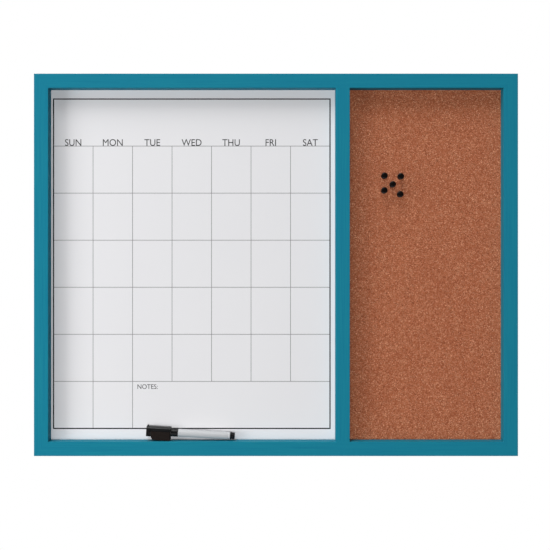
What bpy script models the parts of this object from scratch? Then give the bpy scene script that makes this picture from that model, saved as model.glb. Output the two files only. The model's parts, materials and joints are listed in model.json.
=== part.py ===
"""A framed wall board: a dry-erase calendar panel on the left and a cork panel on the right.

Metres, +Z up. The board hangs on a wall at y = 0 and faces -Y. The origin lies on the wall
plane, behind the middle of the board. Pieces that touch keep a gap of GAP between them.
"""

import math

import bmesh
import bpy
from mathutils import Vector

GAP = 0.0003

# Frame: four mitred rails and a mullion, all of one rebated section.
BOARD_WIDTH = 0.724
BOARD_HEIGHT = 0.572
FRAME_DEPTH = 0.032
RAIL_WIDTH = 0.0214
MULLION_WIDTH = 0.021
MULLION_X = 0.100
PANEL_RECESS = 0.018
REBATE = 0.006
ARRIS = 0.0006

# Panels, each a face sheet on a backing board.
PANEL_CLEARANCE = 0.0005
STEEL_THICKNESS = 0.0006
HARDBOARD_THICKNESS = 0.005
CORK_THICKNESS = 0.004
SOFTBOARD_THICKNESS = 0.006

# Fastenings inside the frame.
NAIL_INSET = 0.005
NAIL_LEG = 0.008
NAIL_STEEL = 0.0008
NAIL_DEPTH = 0.010
DOWEL_RADIUS = 0.003
DOWEL_LENGTH = 0.024
DOWEL_SETBACK = 0.009
TAB_GRIP = 0.0035
TAB_EXPOSED = 0.0125
TAB_WIDTH = 0.010
TAB_STEEL = 0.0006
TAB_SPREAD = 0.120

# Hanging hardware on the back.
BUMPER_THICKNESS = 0.005
BUMPER_RADIUS = 0.005
BUMPER_INSET = 0.030
HANGER_Z = 0.190
STRAP_STEEL = 0.0008
STRAP_WIDTH = 0.011
STRAP_NECK_WIDTH = 0.0075
STRAP_LENGTH = 0.0305
STRAP_HOLE_RADIUS = 0.0018
SCREW_DROPS = (0.015, 0.025)
RING_WIRE_RADIUS = 0.001
RING_RUNNING_GAP = 0.00015
RING_HALF_WIDTH = 0.006
RING_CORNER = 0.0015
RING_LEG = 0.004
SCREW_SHANK_RADIUS = 0.0013
SCREW_LENGTH = 0.012
SCREW_HEAD_RADIUS = 0.003
SCREW_HEAD_HEIGHT = 0.0016

# Push pins, given as offsets (right, up) from the middle one.
PIN_CLUSTER_X = 0.1759
PIN_CLUSTER_Z = 0.1213
PIN_OFFSETS = ((-0.0125, 0.0129), (0.0121, 0.0120), (0.0, 0.0), (-0.0128, -0.0093), (0.0112, -0.0150))
PIN_HEAD_RADIUS = 0.0047
PIN_HEIGHT = 0.0128
NEEDLE_RADIUS = 0.00055
NEEDLE_REACH = 0.009
NEEDLE_ROOT = 0.006

# Marker: stations along its own axis, from the closed end of the cap to the end plug.
MARKER_START_X = -0.1949
MARKER_TILT = math.radians(3.3)
CAP_BLOCK_END = 0.0366
CAP_MOUTH_END = 0.0474
BARREL_END = 0.126
MARKER_LENGTH = 0.133
BARREL_RADIUS = 0.00595
BARREL_BORE = 0.0049
BARREL_EASE = 0.0005
NECK_RADIUS = 0.0047
NECK_BORE = 0.0037
NECK_STEP = 0.0015
NOZZLE_REACH = 0.011
NOZZLE_TAPER = 0.003
NIB_RADIUS = 0.00185
NIB_REACH = 0.005
RESERVOIR_RADIUS = 0.0045
SPIGOT_LENGTH = 0.007
PLUG_LIP_RADIUS = 0.0054
PLUG_LIP_WIDTH = 0.0016
PLUG_RADIUS = 0.0048
CAP_BACK = 0.0059
CAP_FRONT = 0.0075
CAP_TOP = 0.0080
CAP_BOTTOM = 0.0068
CAP_MOUTH_RADIUS = 0.00605
CAP_BORE_DEPTH = 0.0196
NUB_HEIGHT = 0.0014
ERASER_START = 0.0071
ERASER_DROP = 0.0118
ERASER_SLOPE = 0.003
FLAP_TOP = 0.0014
FLAP_THICKNESS = 0.0026
MAGNET_LENGTH = 0.014
MAGNET_WIDTH = 0.008
MAGNET_THICKNESS = 0.0012

# Worked out from the sizes above.
HALF_WIDTH = BOARD_WIDTH / 2
HALF_HEIGHT = BOARD_HEIGHT / 2
BACK_Y = -BUMPER_THICKNESS
FRONT_Y = BACK_Y - FRAME_DEPTH
LIP_BACK_Y = FRONT_Y + PANEL_RECESS
PANEL_FACE_Y = LIP_BACK_Y + GAP
REBATE_WALL = RAIL_WIDTH - REBATE
WEB_HALF = MULLION_WIDTH / 2 - REBATE
CALENDAR_WALLS = (-HALF_WIDTH + REBATE_WALL, MULLION_X - WEB_HALF)
CORK_WALLS = (MULLION_X + WEB_HALF, HALF_WIDTH - REBATE_WALL)
PANEL_HALF_HEIGHT = HALF_HEIGHT - REBATE_WALL
LEDGE_Z = -HALF_HEIGHT + RAIL_WIDTH

AXES = {"X": Vector((1, 0, 0)), "Y": Vector((0, 1, 0)), "Z": Vector((0, 0, 1))}
PLANES = {"XY": "XYZ", "XZ": "XZY", "YZ": "YZX"}
ACROSS = {"X": "YZ", "Y": "ZX", "Z": "XY"}
ROUND_SIDES = 32
PIN_SIDES = 24
SMALL_ROUND_SIDES = 20
NEEDLE_SIDES = 12


# ---------------------------------------------------------------- materials


def principled(name, colour, roughness, metallic=0.0):
    material = bpy.data.materials.new(name)
    material.use_nodes = True
    shader = material.node_tree.nodes["Principled BSDF"]
    shader.inputs["Base Color"].default_value = (*colour, 1.0)
    shader.inputs["Roughness"].default_value = roughness
    shader.inputs["Metallic"].default_value = metallic
    return material


def make_materials():
    """One material for each finish, by name."""
    return {
        "painted_wood": principled("teal_painted_wood", (0.014, 0.216, 0.319), 0.45),
        "beech": principled("beech_dowel", (0.55, 0.36, 0.20), 0.7),
        "dry_erase": principled("dry_erase_coated_steel", (0.78, 0.78, 0.80), 0.18),
        "hardboard": principled("brown_hardboard", (0.19, 0.10, 0.05), 0.75),
        "cork": principled("cork", (0.37, 0.13, 0.063), 0.9),
        "softboard": principled("grey_softboard", (0.33, 0.29, 0.24), 0.95),
        "zinc": principled("zinc_plated_steel", (0.62, 0.63, 0.65), 0.35, 1.0),
        "bright_steel": principled("bright_steel", (0.70, 0.70, 0.72), 0.18, 1.0),
        "rubber": principled("black_rubber", (0.02, 0.02, 0.02), 0.85),
        "pin_plastic": principled("black_pin_plastic", (0.012, 0.011, 0.011), 0.2),
        "cap_plastic": principled("black_cap_plastic", (0.015, 0.015, 0.016), 0.32),
        "barrel_plastic": principled("silver_white_plastic", (0.56, 0.56, 0.58), 0.3),
        "nozzle_plastic": principled("white_nozzle_plastic", (0.75, 0.75, 0.75), 0.4),
        "felt": principled("dark_felt", (0.022, 0.018, 0.016), 1.0),
        "fibre": principled("ink_fibre", (0.03, 0.03, 0.035), 0.95),
        "ferrite": principled("ferrite_magnet", (0.05, 0.05, 0.055), 0.6, 0.3),
    }


# ---------------------------------------------------------------- outlines


def rectangle(low, high):
    return [(low[0], low[1]), (high[0], low[1]), (high[0], high[1]), (low[0], high[1])]


def circle(radius, sides=SMALL_ROUND_SIDES):
    turns = [2 * math.pi * i / sides for i in range(sides)]
    return [(radius * math.cos(turn), radius * math.sin(turn)) for turn in turns]


def arc(centre, radius, start_degrees, end_degrees, steps):
    """Points on an arc, both ends included."""
    points = []
    for step in range(steps + 1):
        turn = math.radians(start_degrees + (end_degrees - start_degrees) * step / steps)
        points.append((centre[0] + radius * math.cos(turn), centre[1] + radius * math.sin(turn)))
    return points


def rounded(corners, steps=4):
    """The outline through (u, v, radius) corners, each rounded to its radius; a radius of 0 stays sharp."""
    points = []
    for i, (u, v, radius) in enumerate(corners):
        corner = Vector((u, v))
        if radius == 0:
            points.append((u, v))
            continue
        before = (Vector(corners[i - 1][:2]) - corner).normalized()
        after = (Vector(corners[(i + 1) % len(corners)][:2]) - corner).normalized()
        half = before.angle(after) / 2
        centre = corner + (before + after).normalized() * radius / math.sin(half)
        first = corner + before * radius / math.tan(half) - centre
        last = corner + after * radius / math.tan(half) - centre
        start = math.degrees(math.atan2(first.y, first.x))
        sweep = math.degrees(math.atan2(last.y, last.x)) - start
        sweep = (sweep + 180) % 360 - 180
        points += arc(centre, radius, start, start + sweep, steps)
    return points


# ---------------------------------------------------------------- solids


def empty(name, location, parent=None):
    obj = bpy.data.objects.new(name, None)
    bpy.context.scene.collection.objects.link(obj)
    obj.location = location
    obj.parent = parent
    return obj


def solid(name, mesh, material, location=(0, 0, 0), parent=None):
    """A named piece with its one material. A piece with no material is a cutter and isn't built."""
    obj = bpy.data.objects.new(name, mesh)
    bpy.context.scene.collection.objects.link(obj)
    obj.location = location
    obj.parent = parent
    if material is None:
        obj.hide_render = True
        obj.display_type = "WIRE"
    elif not obj.material_slots:
        mesh.materials.append(material)
    return obj


def mesh_from(bm, smooth_below=None):
    """A mesh with its faces pointing out, smooth where faces meet at less than the given angle."""
    bmesh.ops.recalc_face_normals(bm, faces=bm.faces)
    mesh = bpy.data.meshes.new("mesh")
    bm.to_mesh(mesh)
    bm.free()
    if smooth_below is not None:
        mesh.shade_smooth()
        mesh.set_sharp_from_angle(angle=math.radians(smooth_below))
    return mesh


def lofted(rings, smooth_below=None):
    """A solid skinned between two or more rings of points and closed at both ends."""
    bm = bmesh.new()
    loops = [[bm.verts.new(point) for point in ring] for ring in rings]
    for first, second in zip(loops, loops[1:]):
        for i in range(len(first)):
            bm.faces.new((first[i - 1], first[i], second[i], second[i - 1]))
    bm.faces.new(loops[0])
    bm.faces.new(loops[-1])
    return mesh_from(bm, smooth_below)


def extruded(outline, plane, low, high, smooth_below=None):
    """An outline in the given plane, swept from low to high along the third axis."""
    across, up, along = (AXES[name] for name in PLANES[plane])
    rings = [[across * u + up * v + along * depth for u, v in outline] for depth in (low, high)]
    return lofted(rings, smooth_below)


def turned(profile, axis, sides=ROUND_SIDES):
    """A solid of revolution. The profile's (station, radius) points go once round the half section."""
    along = AXES[axis]
    across, up = (AXES[name] for name in ACROSS[axis])
    spokes = [across * u + up * v for u, v in circle(1.0, sides)]
    bm = bmesh.new()
    loops = []
    for station, radius in profile:
        if radius == 0:
            loops.append([bm.verts.new(along * station)] * sides)
        else:
            loops.append([bm.verts.new(along * station + spoke * radius) for spoke in spokes])
    for first, second in zip(loops, loops[1:] + loops[:1]):
        for i in range(sides):
            corners = tuple(dict.fromkeys((first[i - 1], first[i], second[i], second[i - 1])))
            if len(corners) > 2:
                bm.faces.new(corners)
    return mesh_from(bm, smooth_below=35)


def combine(host, tool, operation="DIFFERENCE"):
    """A live Boolean of the host with another object, which then only serves as a tool."""
    modifier = host.modifiers.new(f"{operation.lower()} {tool.name}", "BOOLEAN")
    modifier.operation = operation
    modifier.solver = "EXACT"
    modifier.object = tool
    tool.hide_render = True
    tool.display_type = "WIRE"


def soften(obj, width, segments=2):
    """Rounds the sharp edges."""
    modifier = obj.modifiers.new("eased edges", "BEVEL")
    modifier.width = width
    modifier.segments = segments
    modifier.limit_method = "ANGLE"
    modifier.angle_limit = math.radians(40)


# ---------------------------------------------------------------- frame


def rail_section():
    """The rail's section as (inward, y) points: a lip at the front and a rebate behind it."""
    return rounded(
        [
            (0, BACK_Y, 0),
            (0, FRONT_Y, ARRIS),
            (RAIL_WIDTH, FRONT_Y, ARRIS),
            (RAIL_WIDTH, LIP_BACK_Y, 0),
            (REBATE_WALL, LIP_BACK_Y, 0),
            (REBATE_WALL, BACK_Y, 0),
        ],
        steps=3,
    )


def mitred_rail(name, outward, half_out, half_along, material):
    """A rail along one side of the frame, its ends cut at 45 degrees."""
    along = outward.cross(AXES["Y"])
    rings = []
    for end in (-1, 1):
        ring = []
        for inward, y in rail_section():
            reach = end * (half_along - inward - GAP / 2)
            ring.append(outward * (half_out - inward) + along * reach + AXES["Y"] * y)
        rings.append(ring)
    return solid(name, lofted(rings, smooth_below=35), material)


def frame_rails(material):
    sides = {
        "frame_rail_top": (AXES["Z"], HALF_HEIGHT, HALF_WIDTH),
        "frame_rail_bottom": (-AXES["Z"], HALF_HEIGHT, HALF_WIDTH),
        "frame_rail_left": (-AXES["X"], HALF_WIDTH, HALF_HEIGHT),
        "frame_rail_right": (AXES["X"], HALF_WIDTH, HALF_HEIGHT),
    }
    return {name: mitred_rail(name, *side, material) for name, side in sides.items()}


def centre_mullion(material):
    """The upright between the panels: a front bar between the rails, and a web in the rebates behind it."""
    half = MULLION_WIDTH / 2
    bar_outline = rounded(
        [
            (MULLION_X - half, LIP_BACK_Y, 0),
            (MULLION_X - half, FRONT_Y, ARRIS),
            (MULLION_X + half, FRONT_Y, ARRIS),
            (MULLION_X + half, LIP_BACK_Y, 0),
        ],
        steps=3,
    )
    bar_half = HALF_HEIGHT - RAIL_WIDTH - GAP
    mullion = solid(
        "centre_mullion", extruded(bar_outline, "XY", -bar_half, bar_half, smooth_below=35), material
    )
    combine(mullion, solid("mullion_web", web_mesh(bar_half - ARRIS), None), "UNION")
    return mullion


def web_mesh(root_half):
    """The web: its root enters the bar, and its ends pass behind the rails' lips."""
    root_y = LIP_BACK_Y - ARRIS
    lip_y = LIP_BACK_Y + GAP
    web_half = PANEL_HALF_HEIGHT - GAP
    upper = [(BACK_Y, web_half), (lip_y, web_half), (lip_y, root_half), (root_y, root_half)]
    lower = [(y, -z) for y, z in reversed(upper)]
    return extruded(upper + lower, "YZ", MULLION_X - WEB_HALF, MULLION_X + WEB_HALF)


def corner_nail_outline(side_x, side_z, grow):
    """An L whose corner lies on the mitre and whose legs run inwards, one in each rail."""
    near = -grow
    far = NAIL_LEG + grow
    thick = NAIL_STEEL + grow
    legs = [(near, near), (far, near), (far, thick), (thick, thick), (thick, far), (near, far)]
    start_x = HALF_WIDTH - NAIL_INSET
    start_z = HALF_HEIGHT - NAIL_INSET
    return [(side_x * (start_x - a), side_z * (start_z - b)) for a, b in legs]


def corner_nails(rails, material):
    """One pressed nail across the back of each mitre, in a slot shared by both rails."""
    for end_z, side_z in (("top", 1), ("bottom", -1)):
        for end_x, side_x in (("left", -1), ("right", 1)):
            nail = extruded(
                corner_nail_outline(side_x, side_z, 0), "XZ", BACK_Y - NAIL_DEPTH, BACK_Y - GAP
            )
            solid(f"corner_nail_{end_z}_{end_x}", nail, material)
            slot = extruded(
                corner_nail_outline(side_x, side_z, GAP), "XZ", BACK_Y - NAIL_DEPTH - GAP, BACK_Y + GAP
            )
            slot = solid(f"nail_slot_{end_z}_{end_x}", slot, None)
            combine(rails[f"frame_rail_{end_z}"], slot)
            combine(rails[f"frame_rail_{end_x}"], slot)


def mullion_dowels(rails, mullion, material):
    """A dowel in each end of the mullion, half of it in the rail."""
    half = DOWEL_LENGTH / 2
    chamfer = DOWEL_RADIUS / 4
    neck = DOWEL_RADIUS - chamfer
    profile = [(-half, 0), (-half, neck), (chamfer - half, DOWEL_RADIUS)]
    profile += [(-station, radius) for station, radius in reversed(profile)]
    peg = turned(profile, "Z", SMALL_ROUND_SIDES)
    bore = extruded(circle(DOWEL_RADIUS + GAP), "XY", -half - GAP, half + GAP)
    for end, side in (("top", 1), ("bottom", -1)):
        place = (MULLION_X, FRONT_Y + DOWEL_SETBACK, side * (HALF_HEIGHT - RAIL_WIDTH))
        solid(f"mullion_dowel_{end}", peg, material, place)
        hole = solid(f"dowel_bore_{end}", bore, None, place)
        combine(rails[f"frame_rail_{end}"], hole)
        combine(mullion, hole)


# ---------------------------------------------------------------- panels


def panel_layer(name, walls, front_y, thickness, material):
    """One board of a panel, which fills the rebate less a fitting clearance."""
    low = (walls[0] + PANEL_CLEARANCE, -PANEL_HALF_HEIGHT + PANEL_CLEARANCE)
    high = (walls[1] - PANEL_CLEARANCE, PANEL_HALF_HEIGHT - PANEL_CLEARANCE)
    return solid(name, extruded(rectangle(low, high), "XZ", front_y, front_y + thickness), material)


def panels(materials):
    """Both panels. Returns the two cork layers, and the y of each panel's back."""
    steel_back = PANEL_FACE_Y + STEEL_THICKNESS
    cork_back = PANEL_FACE_Y + CORK_THICKNESS
    panel_layer("dry_erase_sheet", CALENDAR_WALLS, PANEL_FACE_Y, STEEL_THICKNESS, materials["dry_erase"])
    panel_layer(
        "dry_erase_backing", CALENDAR_WALLS, steel_back + GAP, HARDBOARD_THICKNESS, materials["hardboard"]
    )
    sheet = panel_layer("cork_sheet", CORK_WALLS, PANEL_FACE_Y, CORK_THICKNESS, materials["cork"])
    backing = panel_layer(
        "cork_backing", CORK_WALLS, cork_back + GAP, SOFTBOARD_THICKNESS, materials["softboard"]
    )
    calendar_back = steel_back + GAP + HARDBOARD_THICKNESS
    return [sheet, backing], calendar_back, cork_back + GAP + SOFTBOARD_THICKNESS


def tab_mesh():
    """A retaining tab lying in XZ: its point goes into the wood at -X, and its blade lies over the panel."""
    half = TAB_WIDTH / 2
    outline = rounded(
        [
            (-TAB_GRIP, 0, 0),
            (-TAB_GRIP / 3, -half, 0),
            (TAB_EXPOSED, -half, 0.0015),
            (TAB_EXPOSED, half, 0.0015),
            (-TAB_GRIP / 3, half, 0),
        ],
        steps=3,
    )
    return extruded(outline, "XZ", GAP, GAP + TAB_STEEL)


def tab_slot_mesh():
    half = TAB_WIDTH / 2 + GAP
    return extruded(rectangle((-TAB_GRIP - GAP, -half), (GAP, half)), "XZ", 0, TAB_STEEL + 2 * GAP)


def retaining_tabs(prefix, walls, panel_back, places, material):
    """Tabs round one panel. Each place is (host, wall, where along it), a wall being one of four sides."""
    blade = tab_mesh()
    slot = tab_slot_mesh()
    for number, (host, wall, along) in enumerate(places, 1):
        x, z, turn = {
            "left": (walls[0], along, 0),
            "top": (along, PANEL_HALF_HEIGHT, 90),
            "right": (walls[1], along, 180),
            "bottom": (along, -PANEL_HALF_HEIGHT, -90),
        }[wall]
        tab = solid(f"{prefix}_tab_{number}", blade, material, (x, panel_back, z))
        hole = solid(f"{prefix}_tab_slot_{number}", slot, None, (x, panel_back, z))
        for obj in (tab, hole):
            obj.rotation_euler.y = math.radians(turn)
        combine(host, hole)


def calendar_tabs(rails, mullion, panel_back, material):
    middle = sum(CALENDAR_WALLS) / 2
    quarter = (CALENDAR_WALLS[1] - CALENDAR_WALLS[0]) / 4
    places = []
    for side in (-1, 1):
        places.append((rails["frame_rail_top"], "top", middle + side * quarter))
        places.append((rails["frame_rail_bottom"], "bottom", middle + side * quarter))
        places.append((rails["frame_rail_left"], "left", side * TAB_SPREAD))
        places.append((mullion, "right", side * TAB_SPREAD))
    retaining_tabs("calendar", CALENDAR_WALLS, panel_back, places, material)


def cork_tabs(rails, mullion, panel_back, material):
    middle = sum(CORK_WALLS) / 2
    places = [(rails["frame_rail_top"], "top", middle), (rails["frame_rail_bottom"], "bottom", middle)]
    for side in (-1, 1):
        places.append((mullion, "left", side * TAB_SPREAD))
        places.append((rails["frame_rail_right"], "right", side * TAB_SPREAD))
    retaining_tabs("cork", CORK_WALLS, panel_back, places, material)


# ---------------------------------------------------------------- hanging hardware


def strap_mesh_pair(pivot_lift):
    """The strap's side view, a plate rolled into a knuckle round the pivot, and its front outline."""
    inner = RING_WIRE_RADIUS + RING_RUNNING_GAP
    outer = inner + STRAP_STEEL
    side = [(-outer, -STRAP_LENGTH)]
    side += arc((0, 0), outer, 180, -60, 20)
    side += arc((0, 0), inner, -60, 180, 20)
    side.append((-inner, -STRAP_LENGTH))
    half = STRAP_WIDTH / 2
    neck = STRAP_NECK_WIDTH / 2
    shoulder = 2 * outer
    front = [(-neck, outer + GAP), (-neck, -outer), (-half, -shoulder)]
    front += arc((0, half - STRAP_LENGTH), half, 180, 360, 16)
    front += [(half, -shoulder), (neck, -outer), (neck, outer + GAP)]
    plate = extruded(side, "YZ", -half, half, smooth_below=35)
    blank = extruded(front, "XZ", -outer - GAP, pivot_lift)
    return plate, blank


def d_ring(name, pivot, material):
    """A wire ring with its straight bar along X at the pivot, hanging down from it."""
    straight = RING_HALF_WIDTH - RING_CORNER
    path = arc((straight, -RING_CORNER), RING_CORNER, 90, 0, 4)
    path += arc((0, -RING_LEG), RING_HALF_WIDTH, 0, -180, 20)
    path += arc((-straight, -RING_CORNER), RING_CORNER, 180, 90, 4)
    curve = bpy.data.curves.new(name, "CURVE")
    curve.dimensions = "3D"
    curve.bevel_depth = RING_WIRE_RADIUS
    curve.bevel_resolution = 3
    spline = curve.splines.new("POLY")
    spline.points.add(len(path) - 1)
    for point, (x, z) in zip(spline.points, path):
        point.co = (x, 0, z, 1)
    spline.use_cyclic_u = True
    return solid(name, curve, material, pivot)


def screw_mesh():
    """A pan-head wood screw along Y, its head's seat at the origin and its point towards -Y."""
    neck = SCREW_HEAD_RADIUS * 0.75
    shoulder = SCREW_HEAD_HEIGHT * 0.6
    profile = [
        (-SCREW_LENGTH, 0),
        (-SCREW_LENGTH + 2.5 * SCREW_SHANK_RADIUS, SCREW_SHANK_RADIUS),
        (0, SCREW_SHANK_RADIUS),
        (0, SCREW_HEAD_RADIUS),
        (shoulder, SCREW_HEAD_RADIUS),
        (SCREW_HEAD_HEIGHT * 0.9, neck + (SCREW_HEAD_RADIUS - neck) / 2),
        (SCREW_HEAD_HEIGHT, neck),
        (SCREW_HEAD_HEIGHT, 0),
    ]
    return turned(profile, "Y", SMALL_ROUND_SIDES)


def cross_recess_mesh():
    """The driver's cross, sunk into the top of the head."""
    long = SCREW_HEAD_RADIUS * 0.55
    slim = SCREW_HEAD_RADIUS * 0.15
    quadrant = [(long, -slim), (long, slim), (slim, slim)]
    outline = []
    for _ in range(4):
        outline += quadrant
        quadrant = [(-v, u) for u, v in quadrant]
    return extruded(outline, "XZ", SCREW_HEAD_HEIGHT * 0.45, SCREW_HEAD_HEIGHT + GAP)


def hangers(rails, materials):
    """A D-ring hanger on the back of each side rail, held by two screws below the ring's bow."""
    outer = RING_WIRE_RADIUS + RING_RUNNING_GAP + STRAP_STEEL
    pivot_y = BACK_Y + GAP + outer
    seat_y = BACK_Y + 2 * GAP + STRAP_STEEL
    plate, blank = strap_mesh_pair(outer + GAP)
    screw = screw_mesh()
    recess = cross_recess_mesh()
    clearance = extruded(circle(STRAP_HOLE_RADIUS), "XZ", BACK_Y, seat_y + GAP)
    pilot = extruded(circle(SCREW_SHANK_RADIUS + GAP), "XZ", seat_y - SCREW_LENGTH - GAP, BACK_Y + GAP)
    for side_name, side in (("left", -1), ("right", 1)):
        rail = rails[f"frame_rail_{side_name}"]
        x = side * (HALF_WIDTH - REBATE_WALL / 2)
        pivot = (x, pivot_y, HANGER_Z)
        strap = solid(f"hanger_strap_{side_name}", plate, materials["zinc"], pivot)
        combine(strap, solid(f"strap_outline_{side_name}", blank, None, pivot), "INTERSECT")
        d_ring(f"d_ring_{side_name}", pivot, materials["zinc"])
        for number, drop in enumerate(SCREW_DROPS, 1):
            tag = f"{side_name}_{number}"
            z = HANGER_Z - drop
            fastener = solid(f"hanger_screw_{tag}", screw, materials["bright_steel"], (x, seat_y, z))
            combine(fastener, solid(f"screw_recess_{tag}", recess, None, (x, seat_y, z)))
            combine(strap, solid(f"strap_hole_{tag}", clearance, None, (x, 0, z)))
            combine(rail, solid(f"pilot_hole_{tag}", pilot, None, (x, 0, z)))


def wall_bumpers(material):
    """Self-adhesive bumpers near the corners, which hold the frame off the wall."""
    edge = BUMPER_RADIUS * 0.3
    profile = [(BACK_Y + GAP, 0), (BACK_Y + GAP, BUMPER_RADIUS)]
    profile += arc((-edge, BUMPER_RADIUS - edge), edge, 90, 0, 3)
    profile.append((0, 0))
    bumper = turned(profile, "Y", PIN_SIDES)
    for end_z, side_z in (("top", 1), ("bottom", -1)):
        for end_x, side_x in (("left", -1), ("right", 1)):
            place = (side_x * (HALF_WIDTH - BUMPER_INSET), 0, side_z * (HALF_HEIGHT - REBATE_WALL / 2))
            solid(f"wall_bumper_{end_z}_{end_x}", bumper, material, place)


# ---------------------------------------------------------------- push pins


def pin_head_mesh():
    """A spool-shaped grip along -Y with a blind hole for its needle; the flange faces the cork."""
    grip = [
        (0.055, 0.92),
        (0.10, 0.92),
        (0.15, 0.83),
        (0.20, 0.60),
        (0.31, 0.52),
        (0.59, 0.58),
        (0.73, 0.73),
        (0.80, 0.93),
        (0.84, 1.0),
        (0.91, 1.0),
        (0.97, 0.90),
        (1.0, 0.62),
        (1.0, 0.0),
    ]
    hole = NEEDLE_RADIUS + GAP
    hole_end = -NEEDLE_ROOT - GAP
    profile = [(-GAP, hole), (-GAP, PIN_HEAD_RADIUS * 0.86)]
    profile += [(-PIN_HEIGHT * height, PIN_HEAD_RADIUS * width) for height, width in grip]
    profile += [(hole_end, 0), (hole_end, hole)]
    return turned(profile, "Y", PIN_SIDES)


def needle_mesh():
    """A steel needle along Y with a conical point, its root inside the grip."""
    taper = NEEDLE_REACH / 3
    profile = [
        (-NEEDLE_ROOT, 0),
        (-NEEDLE_ROOT, NEEDLE_RADIUS),
        (NEEDLE_REACH - taper, NEEDLE_RADIUS),
        (NEEDLE_REACH, 0),
    ]
    return turned(profile, "Y", NEEDLE_SIDES)


def push_pins(cork_layers, materials):
    """Each pin hangs from an empty where its axis meets the cork's face."""
    head = pin_head_mesh()
    needle = needle_mesh()
    hole = extruded(circle(NEEDLE_RADIUS + GAP, NEEDLE_SIDES), "XZ", -GAP, NEEDLE_REACH + GAP)
    for number, (right, up) in enumerate(PIN_OFFSETS, 1):
        place = (PIN_CLUSTER_X + right, PANEL_FACE_Y, PIN_CLUSTER_Z + up)
        axis = empty(f"pin_axis_{number}", place)
        solid(f"pin_head_{number}", head, materials["pin_plastic"], parent=axis)
        solid(f"pin_needle_{number}", needle, materials["bright_steel"], parent=axis)
        pierced = solid(f"needle_hole_{number}", hole, None, parent=axis)
        for layer in cork_layers:
            combine(layer, pierced)


# ---------------------------------------------------------------- marker


def marker_barrel(axis, material):
    """The barrel: a tube with a narrower, thicker neck for the cap to fit on."""
    shoulder = CAP_MOUTH_END + GAP
    step = shoulder + NECK_STEP
    start = CAP_BLOCK_END + GAP
    tube = [
        (start, NECK_BORE),
        (start, NECK_RADIUS - BARREL_EASE),
        (start + BARREL_EASE, NECK_RADIUS),
        (shoulder, NECK_RADIUS),
        (shoulder, BARREL_RADIUS - BARREL_EASE),
        (shoulder + BARREL_EASE, BARREL_RADIUS),
        (BARREL_END - BARREL_EASE, BARREL_RADIUS),
        (BARREL_END, BARREL_RADIUS - BARREL_EASE),
        (BARREL_END, BARREL_BORE),
        (step, BARREL_BORE),
        (step, NECK_BORE),
    ]
    solid("marker_barrel", turned(tube, "X"), material, parent=axis)


def marker_tip(axis, materials):
    """The nozzle in the neck, the nib in the nozzle, and the ink reservoir behind them."""
    tail = CAP_MOUTH_END + 4 * GAP
    nozzle_tip = CAP_BLOCK_END - NOZZLE_REACH
    nozzle_radius = NECK_BORE - GAP
    nib_bore = NIB_RADIUS + GAP
    nozzle = [
        (nozzle_tip, nib_bore),
        (nozzle_tip, nib_bore + 2 * GAP),
        (nozzle_tip + NOZZLE_TAPER, nozzle_radius),
        (tail, nozzle_radius),
        (tail, nib_bore),
    ]
    solid("marker_nozzle", turned(nozzle, "X", SMALL_ROUND_SIDES), materials["nozzle_plastic"], parent=axis)

    nib = arc((nozzle_tip - NIB_REACH + NIB_RADIUS, 0), NIB_RADIUS, 180, 90, 4)
    nib += [(tail, NIB_RADIUS), (tail, 0)]
    nib[0] = (nib[0][0], 0)
    solid("marker_nib", turned(nib, "X", SMALL_ROUND_SIDES), materials["fibre"], parent=axis)

    front = CAP_MOUTH_END + NECK_STEP + 2 * GAP
    back = BARREL_END - SPIGOT_LENGTH - GAP
    rod = extruded(circle(RESERVOIR_RADIUS), "YZ", front, back, smooth_below=35)
    solid("ink_reservoir", rod, materials["fibre"], parent=axis)


def marker_end_plug(axis, material):
    """The plug in the open end of the barrel: a spigot, a lip and a rounded button."""
    spigot = BARREL_BORE - GAP
    seat = BARREL_END + GAP
    dome = PLUG_RADIUS / 3
    profile = [
        (BARREL_END - SPIGOT_LENGTH, 0),
        (BARREL_END - SPIGOT_LENGTH, spigot - 2 * GAP),
        (BARREL_END - SPIGOT_LENGTH + 2 * GAP, spigot),
        (seat, spigot),
        (seat, PLUG_LIP_RADIUS),
        (seat + PLUG_LIP_WIDTH, PLUG_LIP_RADIUS),
        (seat + PLUG_LIP_WIDTH + GAP, PLUG_RADIUS),
    ]
    profile += arc((MARKER_LENGTH - dome, PLUG_RADIUS - dome), dome, 90, 0, 4)
    profile.append((MARKER_LENGTH, 0))
    solid("marker_end_plug", turned(profile, "X"), material, parent=axis)


def cap_block(axis, material):
    """The cap's closed end, a block with a rounded top."""
    section = rounded(
        [
            (CAP_BACK, -CAP_BOTTOM, 0.0010),
            (-CAP_FRONT, -CAP_BOTTOM, 0.0010),
            (-CAP_FRONT, CAP_TOP, 0.0048),
            (CAP_BACK, CAP_TOP, 0.0030),
        ],
        steps=6,
    )
    block = extruded(section, "YZ", 0, CAP_BLOCK_END, smooth_below=35)
    cap = solid("marker_cap", block, material, parent=axis)
    soften(cap, BARREL_EASE)
    return cap


def cap_nub_shape():
    """A thumb nub that stands up at the closed end."""
    root = CAP_TOP - NUB_HEIGHT
    crown = CAP_TOP + NUB_HEIGHT
    outline = rounded(
        [
            (NUB_HEIGHT / 2, root, 0),
            (NUB_HEIGHT / 2, crown, 0.0005),
            (NUB_HEIGHT * 2, crown, 0.0005),
            (NUB_HEIGHT * 3, root, 0),
        ],
        steps=3,
    )
    return extruded(outline, "XZ", -2 * NUB_HEIGHT, NUB_HEIGHT)


def cap_mouth_shape():
    """The cap's round open end, solid as yet."""
    start = CAP_BLOCK_END - CAP_MOUTH_RADIUS / 3
    mouth = [
        (start, 0),
        (start, CAP_MOUTH_RADIUS),
        (CAP_MOUTH_END - BARREL_EASE, CAP_MOUTH_RADIUS),
        (CAP_MOUTH_END, CAP_MOUTH_RADIUS - BARREL_EASE),
        (CAP_MOUTH_END, 0),
    ]
    return turned(mouth, "X")


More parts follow.
